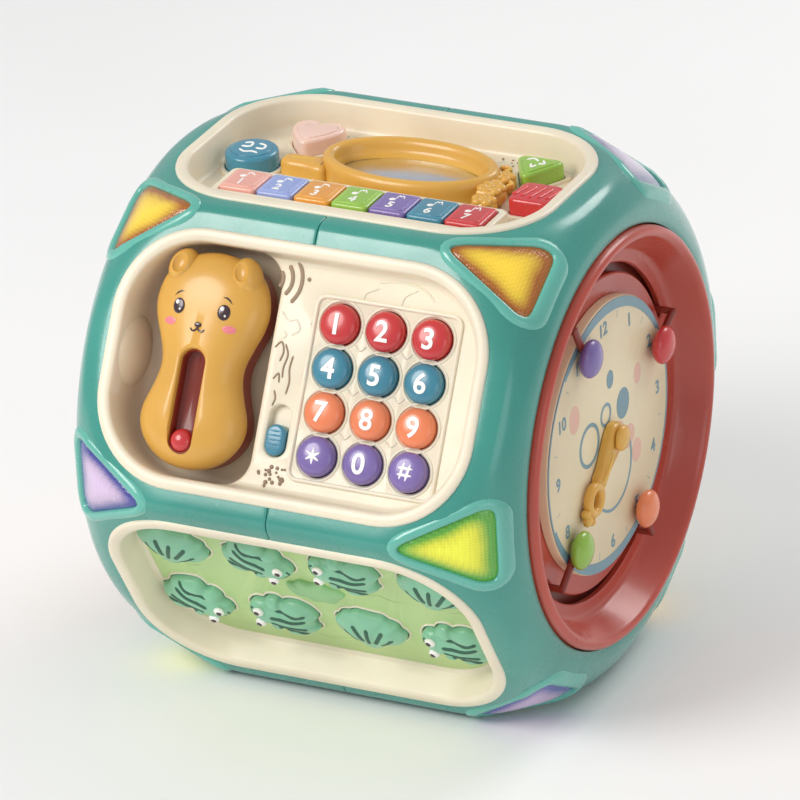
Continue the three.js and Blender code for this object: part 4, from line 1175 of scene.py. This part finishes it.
top_panel = tray("top_panel", TOP, DECK)
blocks = [eased(rrect(PIANO_END + 3.4, KEY_Y + 3.2, 3.4, 0, PIANO_Y), DECK - 1, HOUSING_TOP, 1.4)]
cutters = [plug(rrect(PIANO_END + CLEARANCE, KEY_Y + CLEARANCE, 1.4, 0, PIANO_Y), DECK - 5, HOUSING_TOP, 0.5)]
button_outlines = {}
for name, (_, _, outline, _) in BUTTONS.items():
    shape = outline - middle_of(outline) + local_centre(f"top_button_{name}", TOP)
    button_outlines[name] = shape
    blocks.append(raised(resized(shape, 2.4), DECK - 1, SEAT_TOP, 0.7))
    cutters.append(loft(lambda grow: resized(shape, grow),
                        [(0.3, DECK - 5), (0.3, SEAT_TOP - 0.4), (0.5, SEAT_TOP - 0.1),
                         (0.8, SEAT_TOP + 0.01), (0.8, SEAT_TOP + 3)]))
carve(top_panel, blocks, TOP, "UNION")
carve(top_panel, cutters, TOP)

for i, look in enumerate(PIANO_LOOKS):
    node = f"piano_key_{i + 1}"
    low, high = heights(node, TOP)
    x, y = local_centre(node, TOP)
    pad = high + 0.25
    add(node, eased(rrect(KEY_X, KEY_Y, 1.8, x, y, 6), low, high, 1.1), TOP, look)
    add(f"{node}_pad", eased(rrect(KEY_X - 1.9, KEY_Y - 1.9, 1.4, x, y, 6), high - 0.5, pad, 0.25), TOP,
        look, node)
    mark = numeral(str(i + 1), 4.6, 0.22, (x - 0.6, y - 2.9), lambda a, b: pad, bold=0.01)
    ball((x - 1.9, y + 1.9, high + 0.2), (1.35, 1.05, 0.4), mark, 18, 8, 20)
    stroke([(x - 0.8, y + 2.1), (x - 0.6, y + 4.4), (x - 0.5, y + 5.6)], 0.55, 0.35, high + 0.22, mark)
    flag = [(x - 0.5, y + 5.5), (x + 0.6, y + 4.9), (x + 1.5, y + 4.6 + 0.2 * i), (x + 2.3, y + 3.5)]
    add(f"{node}_mark", strokes([flag], 0.6, 0.35, high + 0.22, mark, 4), TOP, "white", node, 40)

for name, (look, mark_look, _, lines) in BUTTONS.items():
    node = f"top_button_{name}"
    low, high = heights(node, TOP)
    shape = button_outlines[name]
    middle = middle_of(shape)
    step = high + 0.45
    add(node, raised(shape, low, high, 1.6), TOP, look)
    if lines:
        add(f"{node}_step", raised(resized(shape, -2.6), high - 0.5, step, 0.45), TOP, look, node)
        marks = strokes([np.array(line) + middle for line in lines], 1.0, 0.4, step, per=5)
    else:
        ends = ((-0.2, -0.86), (0, 0), (0.2, 0.86))
        ribs = [[middle + (x + lean * half, reach * half) for lean, reach in ends]
                for x, half in ((-6.8, 5.4), (-3.4, 6.2), (0, 7.0), (3.4, 6.2), (6.8, 5.4))]
        marks = strokes(ribs, 2.1, 0.8, high - 0.15)
    add(f"{node}_marks", marks, TOP, mark_look, node)

# Mirror: an oval frame, a stub of a handle and a posy of blossom.
PLATE_LOW, PLATE_HIGH = local_box("mirror_plate", TOP)
FRAME_LOW, FRAME_HIGH = heights("mirror_frame", TOP)
MIRROR = local_centre("mirror_plate", TOP)
GLASS_X, GLASS_Y = (PLATE_HIGH - PLATE_LOW)[:2] / 2 + CLEARANCE
BAND = 6.5
FRAME_PROFILE = [(0, FRAME_LOW), (0, 93.6), (0.1, 95.6), (0.35, 97.2), (1.0, 98.5), (2.0, 99.1),
                 (3.1, FRAME_HIGH), (4.1, 98.9), (4.9, 98.1), (5.5, 96.8), (5.7, 95.2), (6.1, 94.6),
                 (BAND, 94.2), (BAND, FRAME_LOW)]
mirror = loft(lambda inset: ellipse(GLASS_X + BAND - inset, GLASS_Y + BAND - inset, *MIRROR, 96),
              FRAME_PROFILE, closed=True)
add("mirror_frame", mirror, TOP, "gold")
handle = smooth_loop([(-47.3, 3.5), (-46.2, 6.6), (-42, 8.0), (-36, 8.1), (-27.5, 9.6), (-26, 3.5),
                      (-27.5, -2.2), (-36, -1.1), (-42, -0.9), (-46.2, 0.5)][::-1], 5)
stem = eased(handle, FRAME_LOW, 96.4, 2.6)
add("mirror_handle", strokes([[(-43, 3.4), (-38, 3.8), (-33, 4.2)]], 2.4, 0.9, 96.0, stem), TOP, "gold")
posy = bmesh.new()
# Each flower: its place, radii, top and number of petals.
for x, y, rx, ry, top, petals in ((43, 14, 5.0, 4.6, 97.6, 5), (43.4, 2.6, 6.0, 5.6, 98.0, 6),
                                  (44.6, -7.2, 5.4, 4.4, 97.4, 5)):
    ball((x, y, (FRAME_LOW + top) / 2 - 0.6), (rx, ry, (top - FRAME_LOW) / 2 + 0.4), posy, 32, 16)
    for i in range(petals):
        out, along = direction(360 * (i + 0.3) / petals) * 0.58
        ball((x + rx * out, y + ry * along, top - 1.6), (rx * 0.42, ry * 0.42, 1.7), posy, 20, 10)
    ball((x, y, top - 0.9), (1.7, 1.7, 1.2), posy, 18, 10)
for width, line in ((1.8, [(38.2, 21), (41.5, 21.6), (43.2, 19.4), (41.6, 17.6)]),
                    (1.8, [(47.5, 10.2), (49.6, 7.6), (48.2, 5.2)]),
                    (2.4, [(38.4, 9.4), (40.6, 8.2), (43.6, 8.4), (46, 7.8)]),
                    (2.2, [(39.4, -2.6), (42.6, -3.0), (47.2, -2.4)])):
    strokes([line], width, 1.3, 96.2, posy)
add("mirror_posy", posy, TOP, "gold")
add("mirror_plate",
    crown(ellipse(GLASS_X - 0.1, GLASS_Y - 0.1, *MIRROR, 96),
          [(1, PLATE_LOW[2]), (1, 91.4), (0.985, 91.8), (0.9, 91.95), (0.7, 92.08), (0.4, 92.17),
           (0.1, PLATE_HIGH[2])]), TOP, "mirror")
swirls = [[(-28, 37), (-24, 39.5), (-19, 38.5), (-16, 35.5), (-20, 34)],
          [(-12, 39), (-6, 37), (0, 38.6), (6, 37.4)], [(20, 39), (26, 37.6), (31, 39.6), (36, 37.6)],
          [(-68, -13), (-66, -8.5), (-68.5, -3)]]
add("deck_swirls", strokes(swirls, 1.1, 0.4, DECK), TOP, "cream")
# Dots packed most densely by the deck's back wall: partly the deck's own stipple, partly a painted shadow under
# the wall.
stipple_and_shade = bmesh.new()
rng = np.random.default_rng(7)
for _ in range(70):
    x, y = rng.uniform(-48, 48), 42.4 - abs(rng.normal(0, 2.6))
    dot(rng.uniform(0.3, 0.65), DECK, 0.35, 0.1, 4, x, max(y, 35.5), 8, stipple_and_shade)
add("deck_stipple", stipple_and_shade, TOP, "taupe_shade_and_print")


# --- pond side: eight creatures that press down
POND_FLOOR = 90.0
CREATURE_EDGE, CREATURE_TOP = 92.4, 96.2
CREATURE_GAP = 0.35
EYE = (9.2, 3.7)
# Each kind in its own frame, its head along the first axis: the outline's right side, rounded lumps as
# (place, radii, height), and dark lines. A line that isn't on the middle line has a mirror image.
KINDS = {"frog": ([(15.0, 0), (13.8, 3.6), (11.4, 6.0), (8.2, 6.6), (6.2, 9.4), (2.8, 10.4), (0.4, 8.6),
                   (-3.4, 10.8), (-8.6, 10.9), (-12.2, 8.0), (-14.2, 4.4), (-12.8, 1.6)],
                  [(-3, 0, 9, 4.4, 0.9), (8.6, 0, 4.6, 4.8, 0.9), (-7, 7.4, 4.6, 2.6, 1.1),
                   (-7, -7.4, 4.6, 2.6, 1.1), (4, 7.9, 2.6, 2.0, 0.8), (4, -7.9, 2.6, 2.0, 0.8),
                   (10, 3.9, 2.2, 2.2, 1.0), (10, -3.9, 2.2, 2.2, 1.0), (-1, 5.2, 7, 1.3, -1.0),
                   (-1, -5.2, 7, 1.3, -1.0)],
                  [[(4.6, 1.6), (0, 2.2), (-5, 2.0), (-10.2, 3.0)],
                   [(2.4, 5.9), (-2, 5.5), (-6, 4.9), (-10.2, 6.4)]]),
         "scallop": ([(11.2, 2.4), (11.2, 5.6), (9.4, 7.6), (8.2, 11.4), (5.4, 12.4), (3.0, 14.6),
                      (-0.6, 14.4), (-4.4, 11.6), (-7.2, 6.4), (-10.2, 3.4), (-10.6, 0)],
                     [(3, 0, 8, 11, 0.5), (-9.4, 0, 2.2, 3.4, 0.7)],
                     [[(-4.0, 0), (1.0, 0), (6.4, 0)], [(-4.0, 2.3), (1.0, 4.3), (5.4, 6.2)],
                      [(-4.6, 4.8), (-1.6, 7.8), (1.4, 10.0)]])}
# Each creature: its kind and the way it faces, in degrees.
CREATURES = {"upper_1": ("scallop", 72), "upper_2": ("frog", -28), "upper_3": ("frog", 168),
             "upper_4": ("scallop", 78), "lower_1": ("frog", -34), "lower_2": ("frog", 172),
             "lower_3": ("scallop", 82), "lower_4": ("frog", 178)}


class Creature:
    """One pond creature: its outline on the panel, and the height of its back."""

    def __init__(self, node, kind, facing):
        low, high = local_box(node, POND)
        self.node, self.kind, self.facing = node, kind, facing
        self.low = low[2]
        self.middle = (low + high)[:2] / 2
        right, self.lumps, self.lines = KINDS[kind]
        loop = rotated(smooth_loop([*right, *[(x, -y) for x, y in right[::-1] if y > 0]], 4), facing)
        # The CAD node's oval is the most that the outline may take up.
        beyond = np.maximum(np.hypot(*(loop / ((high - low)[:2] / 2)).T), 1)
        self.centred = loop / beyond[:, None]
        self.outline = self.centred + self.middle

    def place(self, points):
        return rotated(points, self.facing) + self.middle

    def height(self, x, y):
        dx, dy = x - self.middle[0], y - self.middle[1]
        angles = np.arctan2(self.centred[:, 1], self.centred[:, 0])
        order = np.argsort(angles)
        reach = np.interp(math.atan2(dy, dx), angles[order], np.hypot(*self.centred.T)[order],
                          period=2 * math.pi)
        share = min(math.hypot(dx, dy) / reach, 1)
        a, b = rotated([dx, dy], -self.facing)
        lift = sum(tall * math.exp(-((a - ca) / ra) ** 2 - ((b - cb) / rb) ** 2)
                   for ca, cb, ra, rb, tall in self.lumps)
        if self.kind == "scallop":
            fan = math.atan2(b, a + 10.5)
            lift += 0.42 * math.cos(fan * 11) * min(1, math.hypot(a + 10.5, b) / 12)
        dome = (CREATURE_TOP - CREATURE_EDGE) * (1 - share ** 2.6) ** 0.6
        return CREATURE_EDGE + dome + lift * (1 - share ** 6)

    def solid(self):
        rings = [at(self.outline, self.low), at(self.outline, CREATURE_EDGE - 0.6)]
        for share in (1, 0.992, 0.97, 0.935, 0.88, 0.81, 0.73, 0.64, 0.54, 0.43, 0.31, 0.19, 0.07):
            rings.append([(x, y, self.height(x, y)) for x, y in self.middle + self.centred * share])
        return skin(rings)

    def eyes(self):
        for name, along, out, lift, radii, steps, look in (
                ("eyes", *EYE, 0.1, (2.2, 2.2, 1.3), 24, "white"),
                ("pupils", 9.5, 3.9, 1.1, (1.2, 1.2, 0.55), 20, "ink")):
            bm = bmesh.new()
            for sign in (1, -1):
                (x, y), eye = self.place([(along, out * sign), (EYE[0], EYE[1] * sign)])
                ball((x, y, self.height(*eye) + lift), radii, bm, steps)
            add(f"{self.node}_{name}", bm, POND, look, self.node)


creatures = [Creature(f"pond_button_{key}", *value) for key, value in CREATURES.items()]
pond_panel = tray("pond_panel", POND, POND_FLOOR, lean=1.5)
pond_floor = add("pond_floor", loft(lambda inset: panel_outline(inset, 16), [
    (8.6, POND_FLOOR - 0.5), (8.6, POND_FLOOR + 0.15), (9.0, POND_FLOOR + 0.35)]), POND, "pond")
for piece in (pond_panel, pond_floor):
    holes = [plug(offset(c.outline, CREATURE_GAP), POND_FLOOR - 6, POND_FLOOR + 3) for c in creatures]
    carve(piece, holes, POND)
edgings = bmesh.new()
for creature in creatures:
    node = creature.node
    add(node, creature.solid(), POND, "frog", angle=60)
    ridge(lambda d: offset(creature.outline, 0.95 + d), 0.9, 0.8, POND_FLOOR + 0.2, edgings)
    stripes = bmesh.new()
    for line in creature.lines:
        for sign in (1, -1) if line[0][1] else (1,):
            path = creature.place(smooth_path([(x, y * sign) for x, y in line]))
            stroke(path, 1.9, 0.28, lambda x, y: creature.height(x, y) - 0.02, stripes)
    if creature.kind == "frog":
        grin = smooth_path([(12.2, 3.2), (13.6, 1.4), (13.9, 0), (13.6, -1.4), (12.2, -3.2)], 4)
        stroke(creature.place(grin), 0.6, 0.25, creature.height, stripes)
        creature.eyes()
    add(f"{node}_stripes", stripes, POND, "frog_dark", node)
add("pond_edgings", edgings, POND, "cream")
leaf = smooth_loop([(12.4, 0.4), (10.2, 3.2), (6.4, 4.2), (3.6, 6.2), (-1.4, 5.2), (-5.4, 6.2), (-8.6, 3.8),
                    (-11.8, 3.0), (-11.4, -0.6), (-8.8, -3.4), (-4.6, -3.8), (-1.8, -6.0), (3.2, -5.0),
                    (7.0, -5.8), (9.4, -3.0)], 5)
add("pond_leaf", crown(leaf, [(share, POND_FLOOR + rise) for share, rise in (
    (1, 0), (1, 1.2), (0.96, 1.9), (0.86, 2.5), (0.6, 3.0), (0.1, 3.2))]), POND, "pond_leaf")
ripples = bmesh.new()
for x in (-6, -2, 2, 6):
    stroke([(x * 1.2, -3.6), (x, 0), (x * 1.25, 3.6)], 0.5, 0.3, POND_FLOOR + 2.6, ripples)
waves = [[(-66, 2), (-60, 4), (-54, 2), (-49, 3)], [(22, 2), (28, 4), (34, 1.5), (40, 3)],
         [(-24, -1), (-19, 1), (-15, -1)], [(56, 0), (62, 2), (67, 0)], [(-8, 33), (0, 35), (8, 33)],
         [(-10, -33), (-2, -35), (6, -33)]]
add("pond_ripples", strokes(waves, 0.9, 0.35, POND_FLOOR + 0.3, ripples), POND, "pond")


# --- sides that the camera doesn't see
BACK_FLOOR = 98.5
BASE_FLOOR = 99.5
tracing_panel = tray("tracing_panel", TRACING, BACK_FLOOR, fillet=1.6)
track = smooth_path([(-58, -14), (-44, 18), (-24, -16), (0, 18), (24, -16), (44, 18), (58, -14)], 14)
backing = skin([at(panel_outline(5.0), BACK_FLOOR - rise) for rise in (7, 0.4)])
carve(tracing_panel, [backing], TRACING, "UNION")
carve(tracing_panel, [tube([(x, y, BACK_FLOOR + 0.4) for x, y in track], 4.4, 20)], TRACING,
      self_crossing=True)
for i, (x, y, look) in enumerate([(-44, -22, "red"), (-24, 27, "lime"), (0, -24, "steel_blue"),
                                  (24, 27, "piano_orange"), (44, -22, "purple")]):
    stud = [(5.2, -0.5), (5.2, 1.2), (4.8, 1.7), (3.6, 2.0), (0.1, 2.2)]
    add(f"tracing_stud_{i + 1}", lathe([(r, BACK_FLOOR + rise) for r, rise in stud], x, y, 36), TRACING, look)
for i, place in enumerate([(-58, -14), (58, -14)]):
    goal = ridge(lambda d: circle(7.4 + d, *place, 40), 1.4, 0.9, BACK_FLOOR)
    add(f"tracing_goal_{i + 1}", goal, TRACING, "gold")

tray("shapes_panel", SHAPES, BACK_FLOOR, fillet=1.6)
STAR_INNER, STAR_OUTER = 6.8, 13.5
corners = [(5, -10.5), (31, -10.5), (18, 12.5)]
star = [np.array([54, 0]) + (STAR_INNER if i % 2 else STAR_OUTER) * direction(90 + 36 * i) for i in range(10)]
for name, outline, look in (("circle", circle(12, -54, 0, 56), "red"),
                            ("square", rrect(11, 11, 2.8, -18, 0, 8), "steel_blue"),
                            ("triangle", rounded_polygon(corners, 3.4, 7), "lime"),
                            ("star", rounded_polygon(star, 1.6, 4), "piano_orange")):
    middle = middle_of(outline)
    shape = raised(outline, BACK_FLOOR - 0.5, BACK_FLOOR + 2.6, 0.8)
    loft(lambda share: middle + (outline - middle) * share,
         [(0.55, BACK_FLOOR + 2.2), (0.55, BACK_FLOOR + 2.8), (0.52, BACK_FLOOR + 3.0)], shape)
    add(f"shape_{name}", shape, SHAPES, look)

DOOR_LOW, DOOR_HIGH = local_box("battery_door", BASE)
DOOR_TOP = DOOR_HIGH[2]
DOOR_HALF = (DOOR_HIGH - DOOR_LOW)[:2] / 2
DOOR_MIDDLE = local_centre("battery_door", BASE)
SPEAKER_X = local_centre("speaker", BASE)[0]
GRILLE_R = 17
SCREW_OUT = 28
base_panel = tray("base_panel", BASE, BASE_FLOOR, fillet=1.2)
battery_box = eased(rrect(*(DOOR_HALF + 2.3), 3, *DOOR_MIDDLE), BASE_FLOOR - 24, BASE_FLOOR - 1, 0.3)
carve(base_panel, [battery_box], BASE, "UNION")
cutters = [plug(rrect(*(DOOR_HALF + CLEARANCE), 2, *DOOR_MIDDLE), BASE_FLOOR - 22, BASE_FLOOR, 0.3)]
for shift in (-12, -6, 0, 6, 12):
    half = math.sqrt(GRILLE_R ** 2 - shift ** 2)
    cutters.append(plug(rrect(1.5, half, 1.45, SPEAKER_X + shift, 0), BASE_FLOOR - 6, BASE_FLOOR, 0.4))
carve(base_panel, cutters, BASE)
door = add("battery_door", eased(rrect(*DOOR_HALF, 1.8, *DOOR_MIDDLE), DOOR_LOW[2], DOOR_TOP, 0.5), BASE,
           "cream")
screws = [DOOR_MIDDLE[0] + dx for dx in (-SCREW_OUT, SCREW_OUT)]
carve(door, [lathe([(3.6, DOOR_TOP - 1.6), (3.6, DOOR_TOP + 1)], x, 0, 28) for x in screws], BASE)
for i, x in enumerate(screws):
    head = [(3.0, DOOR_TOP - 1.9), (3.0, DOOR_TOP - 1.0), (2.4, DOOR_TOP - 0.6), (0.1, DOOR_TOP - 0.5)]
    screw = add(f"door_screw_{i + 1}", lathe(head, x, 0, 28), BASE, "screw")
    cross = [rrect(half, thin, 0.05, x, 0, 3) for half, thin in ((2.0, 0.35), (0.35, 2.0))]
    carve(screw, [eased(bar, DOOR_TOP - 1.2, DOOR_TOP, 0.02) for bar in cross], BASE)
grip = bmesh.new()
for y in (-8, -4, 0, 4, 8):
    stroke([(DOOR_MIDDLE[0] + dx, y) for dx in (-9, 0, 9)], 1.3, 0.5, DOOR_TOP - 0.1, grip)
add("door_grip", grip, BASE, "cream")
FOOT_TOP = RIM_W - 0.4
foot = [(6, BASE_FLOOR - 0.5), (6, FOOT_TOP - 0.6), (5.6, FOOT_TOP - 0.2), (4.8, FOOT_TOP), (0.1, FOOT_TOP)]
for i, (x, y) in enumerate([(-62, 26), (-62, -26), (62, 26), (62, -26)]):
    add(f"foot_pad_{i + 1}", lathe(foot, x, y, 36), BASE, "black")


# --- CAD nodes that stay
for node, look in (("speaker", "black"), ("main_board", "board")):
    frame["nodes"][node].data.materials.clear()
    frame["nodes"][node].data.materials.append(LOOKS[look][1])

# --- floor, light and camera
CENTRE = (cad_low + cad_high) / 2
FLOOR_GAP = 0.0002
FLOOR_HALF = 3.0
material, tree, shader = new_material("studio_floor")
tint = ramp(tree, noise(tree, 2.5, 4.0), [(0.3, linear((245, 244, 242))), (0.7, linear((250, 249, 248)))])
fill(tree, shader, {"Base Color": tint, "Roughness": remap(tree, noise(tree, 9.0), 0.7, 0.8)})
floor_bm = bmesh.new()
bmesh.ops.create_grid(floor_bm, x_segments=24, y_segments=24, size=FLOOR_HALF)
floor = new_object("studio_floor", bpy.data.meshes.new("studio_floor"))
floor_bm.to_mesh(floor.data)
floor_bm.free()
floor.data.materials.append(material)
floor.location.z = cad_low.z - FLOOR_GAP

# Each lamp: its place, size, power and colour.
LIGHTS = {"key_light": ((-0.75, -1.05, 1.15), 0.9, 16, (1.0, 0.975, 0.94)),
          "fill_light": ((1.3, -0.9, 0.5), 0.9, 2.2, (0.95, 0.98, 1.0)),
          "back_light": ((0.5, 1.2, 1.1), 0.8, 8, (1.0, 0.99, 0.97))}
for name, (place, size, power, colour) in LIGHTS.items():
    lamp = bpy.data.lights.new(name, "AREA")
    lamp.shape = "DISK"
    lamp.size = size
    lamp.energy = power
    lamp.color = colour
    light = new_object(name, lamp)
    light.location = place
    light.rotation_euler = (CENTRE - Vector(place)).to_track_quat("-Z", "Y").to_euler()

world = bpy.data.worlds.new("studio")
bpy.context.scene.world = world
world.use_nodes = True
fill(world.node_tree, world.node_tree.nodes["Background"], {"Color": (0.94, 0.96, 1.0, 1), "Strength": 0.55})
bpy.context.scene.view_settings.view_transform = "Standard"

AZIMUTH, ELEVATION, ROLL = math.radians(27.6), math.radians(26.1), math.radians(3.3)
DISTANCE = 3.0
SENSOR = 36
# The part of the picture's width that the object fills, and how much wider than deep it looks from here.
FILL, LOOKS_WIDER = 0.84, 1.13
right = Vector((math.cos(AZIMUTH), math.sin(AZIMUTH), 0))
back = Vector((math.sin(AZIMUTH), -math.cos(AZIMUTH), 0)) * math.cos(ELEVATION)
back.z = math.sin(ELEVATION)
up = back.cross(right)
right, up = math.cos(ROLL) * right - math.sin(ROLL) * up, math.sin(ROLL) * right + math.cos(ROLL) * up
camera = new_object("camera", bpy.data.cameras.new("camera"))
camera.data.sensor_width = SENSOR
camera.data.lens = SENSOR * DISTANCE / ((cad_high - cad_low).y * LOOKS_WIDER / FILL)
turn = Matrix((right, up, back)).transposed().to_4x4()
camera.matrix_world = Matrix.Translation(CENTRE + back * DISTANCE) @ turn
bpy.context.scene.camera = camera
